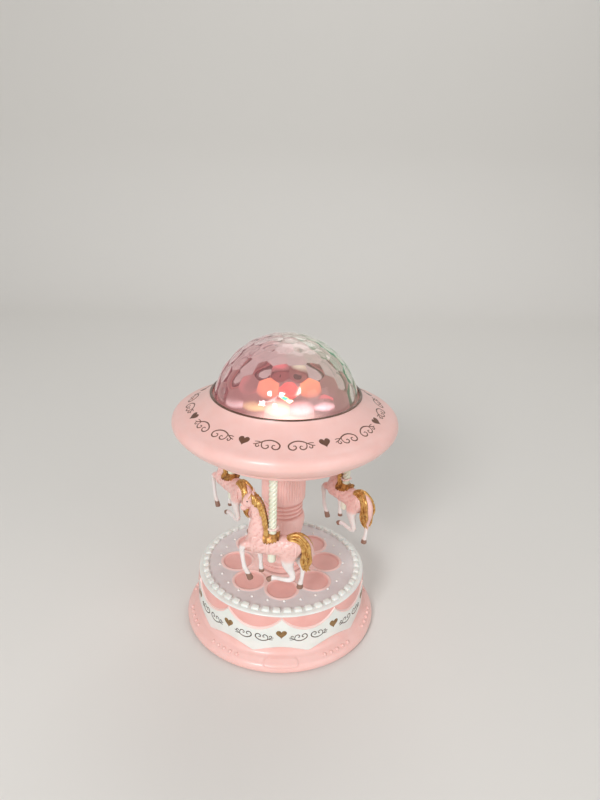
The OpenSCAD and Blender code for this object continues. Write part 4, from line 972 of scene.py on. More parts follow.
@dataclass
class Roof:
    """The saucer roof: a smooth upper shell, its painted vines and the brown ring round the dome."""

    widest: float = 60.3
    columns: int = 360
    hearts: int = 8
    heart_phase: float = -91.5 + 22.5

    def shell_profile(self) -> Array:
        """Outline (r, z) of the upper shell from the joint over the widest line to the neck."""
        e = EQUATOR_Z
        return spline([(60.0, e - 2), (60.35, e - 0.3), (60.1, e + 1.5), (59.2, e + 3.0), (57.6, e + 4.1),
                       (54.3, e + 5.4), (50.3, e + 7.4), (46.6, e + 9.4), (43.6, e + 11.4), (41.6, e + 13.1),
                       (40.5, e + 14.5), (40.3, NECK_Z - 0.1)], 110)

    def shell(self) -> None:
        """Builds the upper shell as a closed surface of revolution."""
        e, n = EQUATOR_Z, self.columns
        upper = Piece(
            "roof_upper_skin", "carousel", "pearl_pink", [Finish.PINK], ("roof_upper_shell",), sharp=50)
        inner = np.array([(40.2, NECK_Z - 0.85), (38.75, NECK_Z - 0.9), (38.75, NECK_Z - 2.2),
                          (36.5, NECK_Z - 2.2), (36.5, NECK_Z - 3.8), (41.2, NECK_Z - 3.8), (46.3, e + 7.2),
                          (50.3, e + 5.1), (53.9, e + 2.9), (56.9, e), (58.0, e - 2)])
        outline = np.vstack([self.shell_profile(), inner])
        upper.grid(turned(outline[:, 0], outline[:, 1], n), wrap_rows=True)
        upper.make()

    def ring(self) -> None:
        """Builds the brown trim ring, a lacquered half-round."""
        a = np.linspace(0, 2 * np.pi, 20, endpoint=False)
        r = 39.5 + 0.78 * np.sign(np.cos(a)) * np.abs(np.cos(a)) ** 0.8
        z = NECK_Z - 0.25 + 0.72 * np.sin(a)
        piece = Piece("dome_trim_ring", "carousel", "ring_brown", [Finish.RING], ("dome_ring",))
        piece.grid(turned(r, z, self.columns), wrap_rows=True)
        piece.make()

    def painted(self) -> None:
        """Adds the hearts and scrolls round the roof, the hearts' points down the slope, away from the dome.
        """
        piece = Piece("roof_ornament", "carousel", "ring_brown", [Finish.BROWN])
        outline = self.shell_profile()[::-1]
        run = np.concatenate([[0], np.cumsum(np.hypot(*np.diff(outline, axis=0).T))])
        here = np.interp(50.2, outline[:60, 0], run[:60])
        slope = np.gradient(outline, axis=0)
        slope /= np.linalg.norm(slope, axis=1, keepdims=True)
        art = Ornament(heart_half=2.85, line=0.3, scale=1.3)
        for k in range(self.hearts):
            turn = math.radians(self.heart_phase + 360 / self.hearts * k)

            def at(x: Array, y: Array, h: Array, down: float = 0.0) -> Array:
                """Lays the flat drawing on the shell; up in the drawing is down the slope."""
                s = here + y + down + 0 * x
                r, z = np.interp(s, run, outline[:, 0]), np.interp(s, run, outline[:, 1])
                out_r, out_z = -np.interp(s, run, slope[:, 1]), np.interp(s, run, slope[:, 0])
                a = turn + x / 50.2
                r = r + h * out_r
                return np.stack([r * np.cos(a), r * np.sin(a), z + h * out_z], -1)

            art.heart(piece, at, 0, -1.0)
            for side in (-1, 1):
                art.scroll(piece, lambda x, y, h: at(x, y, h, 0.2), 0, side, 1)
        piece.make()

    def build(self) -> None:
        """Builds every piece of the roof."""
        self.shell()
        self.ring()
        self.painted()


@dataclass
class Dome:
    """The clear dome: a lens on every facet outside, a round hollow inside."""

    radius: float = 39.1
    facet_at: float = 38.3
    lens_top: float = 38.95
    lens_depth: float = 1.6
    lens_r: float = 14.0
    wall: float = 1.8
    sink: float = 8.0
    seat: float = 2.2
    facet_reach: float = 14.0
    side_points: int = 5
    hollow_columns: int = 114
    turn: float = -78.9
    rows: tuple[tuple[float, int, float], ...] = (
        (19, 19, 0.0), (33, 19, 0.5), (46, 19, 0.0), (58, 14, 0.0), (70, 10, 0.5), (81, 5, 0.0), (90, 1, 0.0))

    def normals(self) -> Array:
        """Directions of the facets, row by row."""
        out = []
        for latitude, count, shift in self.rows:
            a = np.radians(self.turn + (np.arange(count) + shift) * 360 / count)
            b = math.radians(latitude)
            out.append(
                np.stack([np.cos(a) * math.cos(b), np.sin(a) * math.cos(b), np.full(count, math.sin(b))], -1))
        return np.vstack(out)

    def facet(self, normal: Array, others: Array, floor: float) -> Array:
        """Cuts a facet's plane by its neighbours' planes, one half-space after another.

        Args:
            normal: the facet's direction.
            others: the directions of all facets.
            floor: lowest height, measured from the dome's centre.
        Returns:
            The polygon's corners, in order.
        """
        side = np.cross(normal, [0.0, 0.6, 0.8] if abs(normal[0]) > 0.5 else [1.0, 0.0, 0.0])
        side /= np.linalg.norm(side)
        up = np.cross(normal, side)
        reach = self.facet_reach
        corners = [normal * self.facet_at + side * a * reach + up * b * reach
                   for a, b in ((-1, -1), (1, -1), (1, 1), (-1, 1))]
        near = others[(others @ normal > math.cos(math.radians(45))) & (others @ normal < 0.99999)]
        planes = [(n, self.facet_at) for n in near] + [(np.array([0.0, 0.0, -1.0]), -floor)]
        for n, d in planes:
            kept = []
            for p, q in zip(corners, corners[1:] + corners[:1]):
                gp, gq = p @ n - d, q @ n - d
                if gp <= 0:
                    kept.append(p)
                if gp * gq < 0:
                    kept.append(p + (q - p) * gp / (gp - gq))
            corners = kept
        return np.array(corners)

    def close_foot(self, bm: bmesh.types.BMesh, cut: float) -> None:
        """Closes the foot with a zip of triangles between the outer and the inner rim, in order of azimuth.

        Args:
            bm: the dome, open at its foot.
            cut: radius between the two rims, in millimetres.
        """

        def azimuth(vert: bmesh.types.BMVert) -> float:
            """Angle of a vertex round the spindle."""
            return math.atan2(vert.co.y, vert.co.x)

        rim = {v for e in bm.edges if len(e.link_faces) == 1 for v in e.verts}
        near, far = (sorted((v for v in rim if (math.hypot(v.co.x, v.co.y) > cut * MM) == side), key=azimuth)
                     for side in (False, True))
        i = j = 0
        while i < len(near) or j < len(far):
            ahead_i = azimuth(near[(i + 1) % len(near)]) + 2 * math.pi * ((i + 1) // len(near))
            ahead_j = azimuth(far[(j + 1) % len(far)]) + 2 * math.pi * ((j + 1) // len(far))
            a, b = near[i % len(near)], far[j % len(far)]
            if j == len(far) or (i < len(near) and ahead_i <= ahead_j):
                i += 1
                bm.faces.new((a, b, near[i % len(near)]))
            else:
                j += 1
                bm.faces.new((a, b, far[j % len(far)]))

    def build(self) -> None:
        """Builds the dome from its facets' lenses, which meet in valleys.

        A lens lies at t = top - depth (1 - exp(-s^2 k / (2 depth))) from the dome's centre, where s is the
        way along the dome from the facet's middle and k the lens's curvature beyond the dome's own.
        """
        centre_z = NECK_Z - self.sink
        floor, centre = NECK_Z - self.seat - centre_z, np.array([0, 0, centre_z])
        directions = self.normals()
        extra = 1 / self.lens_r - 1 / self.lens_top
        piece = Piece("dome_skin", "carousel", "clear_dome", [Finish.DOME], ("dome",), sharp=9.0)
        for normal in directions:
            corners = self.facet(normal, directions, floor)
            edge = np.vstack([np.linspace(p, q, self.side_points, endpoint=False)
                              for p, q in zip(corners, np.roll(corners, -1, 0))])
            rings = np.array([1.0, 0.9, 0.75, 0.55, 0.32, 0.12])[:, None, None]
            p = edge.mean(0) + (edge[None] - edge.mean(0)) * rings
            grounded = p[..., 2] < floor + 0.001
            p /= np.linalg.norm(p, axis=-1, keepdims=True)
            away = self.lens_top * np.arccos(np.clip(p @ normal, -1, 1))
            drop = self.lens_depth * (1 - np.exp(-(away**2) * extra / (2 * self.lens_depth)))
            p *= (self.lens_top - drop)[..., None]
            p[..., 2] = np.where(grounded, floor, np.maximum(p[..., 2], floor))
            piece.grid(p + centre, caps=False)
            piece.faces.append((piece.total - len(edge) + np.arange(len(edge))).tolist())
            piece.marks.append(0)
        inner_r = self.radius - self.wall
        rise = np.linspace(math.asin(floor / inner_r), math.pi / 2 - 0.02, 30)
        n = self.hollow_columns
        hollow = turned(inner_r * np.cos(rise), centre_z + inner_r * np.sin(rise), n)
        start = piece.total
        piece.grid(hollow, caps=False)
        piece.points.append(hollow[-1].mean(0)[None])
        ring = start + (len(rise) - 1) * n + np.arange(n)
        piece.faces.extend(np.stack([ring, np.roll(ring, -1), np.full(114, piece.total)], -1).tolist())
        piece.marks.extend([0] * 114)
        piece.total += 1
        mesh = bpy.data.meshes.new(piece.name)
        mesh.from_pydata((piece.vertices() * MM).tolist(), [], piece.faces)
        bm = bmesh.new()
        bm.from_mesh(mesh)
        bmesh.ops.remove_doubles(bm, verts=bm.verts, dist=0.02 * MM)
        self.close_foot(bm, inner_r)
        bm.normal_update()
        for face in bm.faces:
            middle = np.array(face.calc_center_median()) / MM - centre
            size = np.linalg.norm(middle)
            outward = middle / size if size > inner_r + 0.3 else -middle / size
            foot = abs(face.normal.z) > 0.9 and middle[2] < floor + 0.5
            if np.array(face.normal) @ (np.array([0.0, 0.0, -1.0]) if foot else outward) < 0:
                face.normal_flip()
        bm.to_mesh(mesh)
        log.info("dome open edges: %d", sum(1 for e in bm.edges if len(e.link_faces) != 2))
        bm.free()
        mesh.shade_smooth()
        mesh.set_sharp_from_angle(angle=math.radians(piece.sharp))
        piece.place(bpy.data.objects.new(piece.name, mesh))


# ---------------------------------------------------------------- poles and horses


Rows = Sequence[Sequence[float]]


@dataclass
class Pole:
    """One rope-twist pole with its plain foot, its top collar and its pin."""

    name: str
    place_deg: float
    radius: float = 2.2
    low_z: float = 61.0
    twist_low: float = 80.0
    twist_high: float = 112.4
    pitch: float = 10.0

    def build(self) -> None:
        """Builds the pole: radius = r0 + lobe |cos 2(a - 2 pi z / pitch)|^0.8, fading at its ends."""
        twist = np.linspace(self.twist_low, self.twist_high, 190)
        z = np.concatenate([[self.low_z, self.low_z, self.low_z + 0.4], np.linspace(62, 79.9, 12), twist,
                            [112.5, 112.6, 112.9, 113.5, 113.8, 113.9, 113.9, 114.6, 124.4, 124.7]])
        a = np.linspace(0, 2 * np.pi, 48, endpoint=False)
        fade = smooth_step((twist - self.twist_low) / 1.2) * smooth_step((self.twist_high - twist) / 1.2)
        lobe = np.abs(np.cos(2 * (a[None] - 2 * np.pi * twist[:, None] / self.pitch))) ** 0.8
        rope = 2.05 + fade[:, None] * (0.62 * lobe - 0.45)
        foot = np.array([0.01, 1.9, 2.15] + [2.2] * 12)[:, None] + 0 * a
        top = np.array([2.1, 2.5, 2.75, 2.78, 2.6, 2.2, 1.6, 1.6, 1.6, 1.3])[:, None] + 0 * a
        r = np.vstack([foot, rope, top])
        heights = np.broadcast_to(z[:, None], r.shape)
        where = math.radians(self.place_deg)
        middle = np.array([POLE_RING_R * math.cos(where), POLE_RING_R * math.sin(where), 0])
        piece = Piece(f"pole_{self.name}_skin", f"{self.name}_horse", "pole_ivory", [Finish.IVORY],
                      (f"pole_{self.name}",))
        piece.grid(turned(r, heights, 48) + middle)
        piece.make()


@dataclass
class Horse:
    """The prancing horse, sculpted once about its saddle and set on each pole.

    In its own frame +X is forward, +Y its left and Z is measured from the saddle. Each limb is a list of rows
    (x, y, z, half width, half height) that a spline joins.
    """

    trunk: Rows = ((-16.2, 0, -9.6, 0.8, 0.9), (-15.4, 0, -9.2, 3.0, 3.2), (-13.4, 0, -8.9, 4.4, 5.3),
                   (-10.5, 0, -8.8, 5.1, 6.2), (-7, 0, -8.7, 5.1, 6.0), (-3, 0, -8.2, 4.8, 5.5),
                   (1, 0, -7.8, 4.9, 5.4), (5, 0, -7.4, 4.9, 5.5), (8.6, 0, -7.0, 4.6, 5.5),
                   (11.4, 0, -6.4, 3.8, 4.6), (13.0, 0, -6.1, 2.2, 3.0), (13.7, 0, -6.0, 0.7, 1.0))
    neck: Rows = ((6.0, 0, -7, 3.7, 4.6), (7.4, 0, -3, 3.5, 5.0), (7.6, 0, 1, 3.0, 4.7),
                  (7.2, 0, 5, 2.6, 4.1), (7.1, 0, 9, 2.3, 3.6), (7.8, 0, 13, 2.1, 3.3),
                  (9.0, 0, 16.2, 2.0, 3.0), (10.6, 0, 18.6, 1.8, 2.3), (11.6, 0, 19.6, 1.2, 1.4))
    head: Rows = ((9.4, 0, 20.8, 1.0, 1.0), (10.6, 0, 19.8, 1.9, 2.2), (11.6, 0, 18.0, 2.2, 2.9),
                  (12.5, 0, 16.2, 2.05, 2.9), (13.4, 0, 14.6, 1.6, 2.2), (14.2, 0, 13.3, 1.3, 1.75),
                  (14.9, 0, 12.3, 1.35, 1.7), (15.4, 0, 11.6, 1.0, 1.2), (15.6, 0, 11.3, 0.4, 0.5))
    fore_near: Rows = (
        (8.6, 2.2, -7.8, 2.2, 2.7), (11.4, 2.6, -7.2, 2.0, 2.5), (13.7, 2.9, -7.4, 1.75, 1.9),
        (15.0, 3.0, -9.4, 1.55, 1.6), (14.9, 3.0, -13, 1.15, 1.25), (14.3, 3.0, -17.5, 1.0, 1.1),
        (13.7, 3.0, -20.6, 1.15, 1.25), (12.9, 3.0, -22.4, 1.05, 1.15), (11.9, 3.0, -24.4, 1.3, 1.4),
        (10.7, 3.0, -27.2, 1.5, 1.65), (10.4, 3.0, -28.0, 1.3, 1.45))
    fore_far: Rows = (
        (8.4, -2.3, -8.6, 2.1, 2.6), (7.4, -2.5, -12, 1.6, 1.9), (6.6, -2.6, -15.5, 1.25, 1.35),
        (6.2, -2.6, -17.6, 1.25, 1.35), (6.0, -2.6, -20.4, 0.95, 1.0), (5.9, -2.6, -23.0, 1.1, 1.15),
        (5.7, -2.6, -24.4, 1.15, 1.25), (5.5, -2.6, -26.3, 1.45, 1.55), (5.45, -2.6, -26.8, 1.3, 1.4))
    hind_near: Rows = ((-9.6, 2.3, -9.5, 3.1, 4.8), (-8.8, 2.7, -13, 2.7, 4.3), (-8.6, 3.0, -16.6, 2.2, 3.3),
                       (-9.6, 3.1, -20, 1.7, 2.4), (-11.0, 3.1, -23, 1.4, 1.7), (-11.3, 3.1, -25.4, 1.3, 1.5),
                       (-9.6, 3.1, -26.8, 1.2, 1.4), (-6.8, 3.1, -26.7, 1.1, 1.2),
                       (-3.8, 3.1, -26.2, 1.05, 1.15), (-1.6, 3.1, -26.0, 1.2, 1.3),
                       (-0.4, 3.1, -26.4, 1.2, 1.3), (1.2, 3.1, -27.4, 1.4, 1.5), (1.7, 3.1, -27.8, 1.2, 1.3))
    hind_far: Rows = (
        (-11, -2.3, -9.5, 2.9, 4.4), (-12.4, -2.5, -13.6, 2.4, 3.4), (-13.8, -2.6, -17.4, 1.8, 2.4),
        (-15.2, -2.6, -20.6, 1.4, 1.7), (-16.2, -2.6, -23.2, 1.25, 1.4), (-16.1, -2.6, -26.4, 1.0, 1.1),
        (-15.8, -2.6, -29.6, 1.0, 1.1), (-15.4, -2.6, -31.6, 1.2, 1.3), (-15.2, -2.6, -33.0, 1.3, 1.5),
        (-15.0, -2.6, -35.2, 1.6, 1.8), (-15.0, -2.6, -35.8, 1.4, 1.6))
    tail: Rows = ((-9.6, 0, -4.9, 0.9, 1.1), (-11.6, 0, -3.9, 1.3, 1.4), (-14.0, 0, -3.4, 1.7, 1.8),
                  (-16.8, 0, -5.0, 2.1, 2.3), (-18.6, 0, -8.6, 2.3, 2.7), (-19.1, 0, -12.8, 2.1, 2.5),
                  (-18.7, 0, -16.6, 1.8, 2.1), (-18.3, 0, -19.8, 1.4, 1.6), (-18.7, 0, -22.4, 0.8, 1.0))
    voxel: float = 0.34
    mesh: bpy.types.Mesh | None = None

    def limb(self, piece: Piece, rows: Rows, sides: int = 20, mark: int = 0, power: float = 0.92) -> None:
        """Adds one limb, its rows joined by a spline and its section kept level across."""
        dense = spline(rows, 6 * len(rows))
        piece.grid(tube(dense[:, :3], np.abs(dense[:, 3]), np.abs(dense[:, 4]), sides, power, level=True),
                   mark)

    def lump(self, piece: Piece, at: Sequence[float], size: Sequence[float], mark: int = 0) -> None:
        """Adds one muscle or knuckle, an ellipsoid."""
        piece.grid(pillow(size, 1.0, 9, 14) + list(at), mark)

    def sculpt(self) -> None:
        """Fuses the limbs, head and muscles into one skin by a voxel remesh and paints it."""
        clay = Piece("horse_clay", "carousel", "horse_paint", [Finish.HORSE])
        for rows in (self.trunk, self.neck, self.head, self.fore_near, self.fore_far, self.hind_near,
                     self.hind_far, self.tail):
            self.limb(clay, rows)
        for y in (-1, 1):
            self.lump(clay, (11.2, 0.95 * y, 15.6), (1.7, 1.35, 2.0))
            self.lump(clay, (8.6, 2.3 * y, -6.4), (3.4, 2.8, 4.4))
            self.lump(clay, (-10.6, 2.2 * y, -7.6), (4.2, 2.9, 4.6))
            self.lump(clay, (15.1, 0.75 * y, 12.2), (0.8, 0.7, 0.75))
            ear = ((9.7, 1.0 * y, 20.2, 0.75, 0.55), (9.6, 1.35 * y, 21.6, 0.85, 0.5),
                   (9.9, 1.5 * y, 22.8, 0.5, 0.35), (10.2, 1.5 * y, 23.6, 0.12, 0.1))
            self.limb(clay, ear, 12)
        work = bpy.data.objects.new("horse_clay", clay.mesh())
        bpy.context.scene.collection.objects.link(work)
        fuse = work.modifiers.new("fuse", "REMESH")
        fuse.mode, fuse.voxel_size, fuse.use_smooth_shade = "VOXEL", self.voxel * MM, True
        soften = work.modifiers.new("soften", "SMOOTH")
        soften.factor, soften.iterations = 0.5, 5
        bpy.context.view_layer.update()
        self.mesh = bpy.data.meshes.new_from_object(work.evaluated_get(bpy.context.evaluated_depsgraph_get()))
        bpy.data.objects.remove(work)
        count = len(self.mesh.vertices)
        p = np.zeros(count * 3, np.float32)
        n = np.zeros(count * 3, np.float32)
        self.mesh.vertices.foreach_get("co", p)
        self.mesh.vertices.foreach_get("normal", n)
        p, n = p.reshape(-1, 3) / MM, n.reshape(-1, 3)
        p = p + n * self.lace(p)[:, None]
        self.mesh.vertices.foreach_set("co", (p * MM).astype(np.float32).reshape(-1))
        paint = self.mesh.color_attributes.new("coat_colour", "FLOAT_COLOR", "POINT")
        paint.data.foreach_set("color", self.coat(p).astype(np.float32).reshape(-1))
        log.info("horse skin: %d vertices", count)

    def lace(self, p: Array) -> Array:
        """Height of the embossed curls on chest, neck and flanks: |sin| ridges bent by slow waves, faded out
        on the head, legs and tail.

        Args:
            p: points in the horse's frame.
        Returns:
            How far each point moves outwards, in millimetres.
        """
        x, y, z = p.T
        bend = 1.3 * np.sin(1.1 * z + 0.4 * y) + 1.1 * np.sin(0.9 * x - 0.7 * z)
        curl = 0.5 + 0.5 * np.sin(1.7 * x + 1.5 * bend) * np.sin(1.8 * z - 1.2 * bend + 0.5 * y)
        zone = (smooth_step((x + 15.0) / 3) * smooth_step((14 - z) / 3)
                * smooth_step((z + 14.0) / 3) * smooth_step((15.5 - x) / 2))
        return 0.3 * zone * (curl - 0.45)

    def coat(self, p: Array) -> Array:
        """Paint of each point: pink body with painted shade in the hollows of its curls, white legs, brown
        hooves, a flushed muzzle.

        Args:
            p: points in the horse's frame.
        Returns:
            Linear RGBA for each point.
        """
        x, y, z = p.T
        pink, painted_hollow_shade, white, hoof, flush = (
            np.array(linear(c)) for c in ("F1C6BF", "DDA098", "ECE6E4", "93705F", "E2A79E"))

        def lay(colour: Array, over: Array, amount: Array) -> Array:
            """Lays one colour over another by an amount for each point."""
            return colour + (over - colour) * np.clip(amount, 0, 1)[:, None]

        colour = np.broadcast_to(pink, (len(p), 4)).copy()
        # Painted shade: the hollows of the embossed curls are darkened where shade would fall.
        colour = lay(colour, painted_hollow_shade, 0.55 * smooth_step(-self.lace(p) / 0.13))
        leg = np.maximum(smooth_step((-13.2 - z) / 3.4) * (x > -17.2), smooth_step((x - 12.9) / 0.8)
                         * smooth_step((-6.6 - z) / 1.4))
        colour = lay(colour, white, leg)
        colour = lay(
            colour, flush, 0.7 * smooth_step((12.8 - z) / 1.2) * smooth_step((x - 13.6) / 1.0) * (z > 8))
        low = np.maximum.reduce(
            [smooth_step((-23.9 - z) / 0.5) * (x > 8.5) * (x < 16), smooth_step((-24.6 - z) / 0.5) * (x > 3)
             * (x < 8.5) * (y < 0), smooth_step((x + 0.7) / 0.5) * (z < -23) * (x < 4) * (y > 0),
             smooth_step((-32.6 - z) / 0.5)])
        return lay(colour, hoof, low)

    def hair(self, piece: Piece) -> None:
        """Adds mane, forelock and tail as tapered wavy locks over both sides."""
        crest = spline(
            [(9.4, 20.6), (7.0, 18.2), (5.4, 15.0), (4.4, 11.5), (3.7, 8.0), (3.2, 4.6), (2.9, 1.6)], 12)
        for side in (1, -1):
            for k, (x, z) in enumerate(crest):
                sway = 0.5 * math.sin(2.1 * k)
                for j, (reach, out) in enumerate(((1.0, 1.0), (0.6, 1.35))):
                    lock = spline([(x + 1.4, 0.2 * side, z + 0.5, 0.75, 0.5),
                                   (x + 0.2, 1.5 * side * out, z - 0.2, 1.0, 0.6),
                                   (x + 0.7 - reach, 2.15 * side * out, z - 2.0, 0.95, 0.6),
                                   (x + 0.4 + sway - reach * 0.6, 2.2 * side * out, z - 3.9, 0.7, 0.45),
                                   (x - 0.9 + sway + j, 2.05 * side * out, z - 5.3 + j, 0.15, 0.12)], 18)
                    piece.grid(tube(lock[:, :3], np.abs(lock[:, 3]), np.abs(lock[:, 4]), 9), 0)
            for k in range(3):
                lock = spline([(9.2, 0.5 * side, 21.0, 0.5, 0.4),
                               (10.8, (0.7 + 0.3 * k) * side, 20.9 - 0.2 * k, 0.6, 0.45),
                               (12.3, (0.9 + 0.4 * k) * side, 19.3 - 0.5 * k, 0.5, 0.4),
                               (12.9, (0.9 + 0.4 * k) * side, 17.8 - 0.4 * k, 0.12, 0.1)], 14)
                piece.grid(tube(lock[:, :3], lock[:, 3], lock[:, 4], 8), 0)
            for k in range(7):
                f = (k - 3) / 3
                wave = 0.7 * math.sin(1.9 * k + 0.6 * side)
                out = 1.0 + 0.22 * (-1) ** k
                lock = spline([(-7.4 - 0.5 * abs(f), (0.9 + 0.5 * f) * side, -3.1 - 0.3 * f, 0.45, 0.35),
                               (-9.4, (1.2 + 0.9 * f) * side * out, -2.5 - 0.7 * f, 0.75, 0.6),
                               (-12.0, (1.3 + 1.0 * f) * side * out, -2.0 - 1.0 * f + 0.6 * wave, 0.9, 0.7),
                               (-14.9, (1.6 + 0.7 * f) * side * out, -3.2 - 1.7 * f, 0.95, 0.8),
                               (-17.2 + 1.7 * f, 2.1 * side * out, -6.6 - f, 0.85, 0.8),
                               (-18.1 + 2.1 * f + wave, 2.3 * side * out, -10.8, 0.8, 0.8),
                               (-17.9 + 2.0 * f - wave, 2.1 * side * out, -15.0, 0.8, 0.7),
                               (-17.6 + 1.7 * f + wave, 1.8 * side * out, -19.0, 0.65, 0.5),
                               (-18.4 + 1.6 * f - wave, 1.4 * side, -22.6 + 1.2 * abs(f), 0.15, 0.12)], 40)
                piece.grid(tube(lock[:, :3], np.abs(lock[:, 3]), np.abs(lock[:, 4]), 9), 0)

    def saddle(self, piece: Piece) -> None:
        """Adds the saddle: a sheet over the back whose rim scallops, raised at pommel and cantle, and a rim
        round the pole."""
        x = np.linspace(-3.9, 4.4, 34)
        rows = spline(self.trunk, 300)
        order = np.argsort(rows[:, 0])
        middle, wide, tall = (np.interp(x, rows[order, 0], rows[order, k]) for k in (2, 3, 4))
        reach = np.radians(50 + 9 * np.abs(np.sin(2.2 * x)) + 3 * x - 16 * (np.abs(x - 0.25) / 4.2) ** 4)
        a = np.linspace(-1, 1, 41)
        angle = reach[:, None] * a
        seat = 1.7 * smooth_step((-x - 2.2) / 1.8) + 1.1 * smooth_step((x - 2.0) / 1.6)
        post = 2.2 * np.exp(-((x / 2.9) ** 2))
        lift = 0.55 + seat[:, None] * np.exp(-((angle / 0.75) ** 2)) + post[:, None] * np.exp(
            -((angle / 0.6) ** 2)) + 0.1 * np.abs(np.sin(9 * angle)) * smooth_step((np.abs(a) - 0.72) / 0.1)
        under = np.full_like(lift, -0.25)

        def sheet(off: Array) -> Array:
            """Section of the back, grown outwards by an offset."""
            return np.stack([x[:, None] + 0 * angle, (wide[:, None] + off) * np.sin(angle),
                             middle[:, None] + (tall[:, None] + off) * np.cos(angle)], -1)

        piece.grid(np.concatenate([sheet(lift), sheet(under)[:, ::-1]], 1), 1)
        turn = np.linspace(0, 2 * np.pi, 32, endpoint=False)
        collar = np.stack([2.75 * np.cos(turn), 2.75 * np.sin(turn), 2.2 + 0.25 * np.cos(2 * turn)], -1)
        sides = np.linspace(0, 2 * np.pi, 12, endpoint=False)
        out = np.stack([np.cos(turn), np.sin(turn), 0 * turn], -1)
        upright = np.array([0, 0, 1.0])
        ring = collar[:, None] + 0.55 * (out[:, None] * np.cos(sides)[None, :, None]
                                         + upright * np.sin(sides)[None, :, None])
        piece.grid(ring, 2, wrap_rows=True)

    def harness(self, piece: Piece) -> None:
        """Adds girth, breast strap, breeching and bridle as flat bands that follow the body's sections."""
        turn = np.linspace(0, 2 * np.pi, 72, endpoint=False)

        def band(middle: Array, half: float) -> None:
            """Sweeps one closed flat band along a loop."""
            along = np.roll(middle, -1, 0) - np.roll(middle, 1, 0)
            along /= np.linalg.norm(along, axis=1, keepdims=True)
            out = middle - middle.mean(0)
            out -= along * (out * along).sum(1, keepdims=True)
            out /= np.linalg.norm(out, axis=1, keepdims=True)
            wide = np.cross(along, out)
            a = np.linspace(0, 2 * np.pi, 10, endpoint=False)
            p = (middle[:, None] + wide[:, None] * (half * np.cos(a))[None, :, None]
                 + out[:, None] * (0.22 * np.sin(a))[None, :, None])
            piece.grid(p, 3, wrap_rows=True)

        for x, z, w, h, half in (
            (1.8, -7.75, 5.1, 5.65, 0.7), (9.6, -6.9, 4.75, 5.75, 0.5), (-12.6, -8.85, 5.1, 6.0, 0.5)):
            band(np.stack([x + 0 * turn, w * np.sin(turn), z + h * np.cos(turn)], -1), half)
        band(np.stack([13.9 + 2.0 * np.cos(turn), 1.75 * np.sin(turn), 14.1 + 1.4 * np.cos(turn)], -1), 0.28)
        band(np.stack([10.9 + 2.9 * np.cos(turn), 2.35 * np.sin(turn), 17.4 + 2.2 * np.cos(turn)], -1), 0.28)

    def build(self, name: str, place_deg: float, heading: float) -> None:
        """Sets one horse on its pole.

        Args:
            name: which horse.
            place_deg: azimuth of its pole.
            heading: azimuth of the way it faces.
        """
        where, body = math.radians(place_deg), f"{name}_horse"
        middle = np.array([POLE_RING_R * math.cos(where), POLE_RING_R * math.sin(where), 79.0])
        skin = self.mesh.copy()
        p = np.zeros(len(skin.vertices) * 3, np.float32)
        skin.vertices.foreach_get("co", p)
        skin.vertices.foreach_set(
            "co", ((turn_z(p.reshape(-1, 3) / MM, heading) + middle) * MM).astype(np.float32).reshape(-1))
        skin.shade_smooth()
        Piece(f"horse_{name}_skin", body, "horse_paint", [Finish.HORSE], (f"horse_{name}",)).place(
            bpy.data.objects.new(f"horse_{name}_skin", skin))
        dress = Piece(f"horse_{name}_dress", body, "horse_paint",
                      [Finish.GOLD, Finish.SADDLE, Finish.BLUSH, Finish.PINK, Finish.EYE])
        self.hair(dress)
        self.saddle(dress)
        self.harness(dress)
        for y in (-1, 1):
            self.lump(dress, (12.6, 1.9 * y, 17.3), (0.5, 0.35, 0.5), 4)
        dress.points = [turn_z(q, heading) + middle for q in dress.points]
        dress.make()


# ---------------------------------------------------------------- carried-over nodes


PLAIN_FINISH: dict[Finish, tuple[str, ...]] = {
    Finish.PINK: ("column_foot", "roof_lower_bowl", "battery_door"),
    Finish.PLAIN: ("bottom_cover", "battery_tray", "switch_knob"),
    Finish.RUBBER: ("rubber_feet",),
    Finish.STEEL: ("cover_screws", "bedplate_screws", "comb_screws", "roof_screws", "door_screw",
                   "movement_bedplate", "cylinder_brackets",
                   "governor_frame", "spindle_nut", "switch_body"),
    Finish.NICKEL: ("winding_key", "battery_contacts"),
    Finish.SPRING: ("key_arbor", "comb", "spindle", "pole_clip_front", "pole_clip_right", "pole_clip_left"),
    Finish.BRASS: ("arbor_bush", "spring_barrel", "music_cylinder", "governor_wheel", "spindle_bush"),
    Finish.CAST: ("comb_stand",),
    Finish.FLY: ("governor_fly",),
    Finish.REFLECTOR: ("lamp_plate",),
    Finish.BOARD: ("lamp_board",),
    Finish.LAMPS: ("lamp_lenses",),
    Finish.CELL: ("battery_cells",),
    Finish.LEAD: ("lamp_wires",),
}


def dress_nodes() -> None:
    """Gives every carried-over node its finish."""
    for finish, names in PLAIN_FINISH.items():
        for name in names:
            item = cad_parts[name]
            item.data.materials.clear()
            item.data.materials.append(material_of(finish))


# ---------------------------------------------------------------- stage


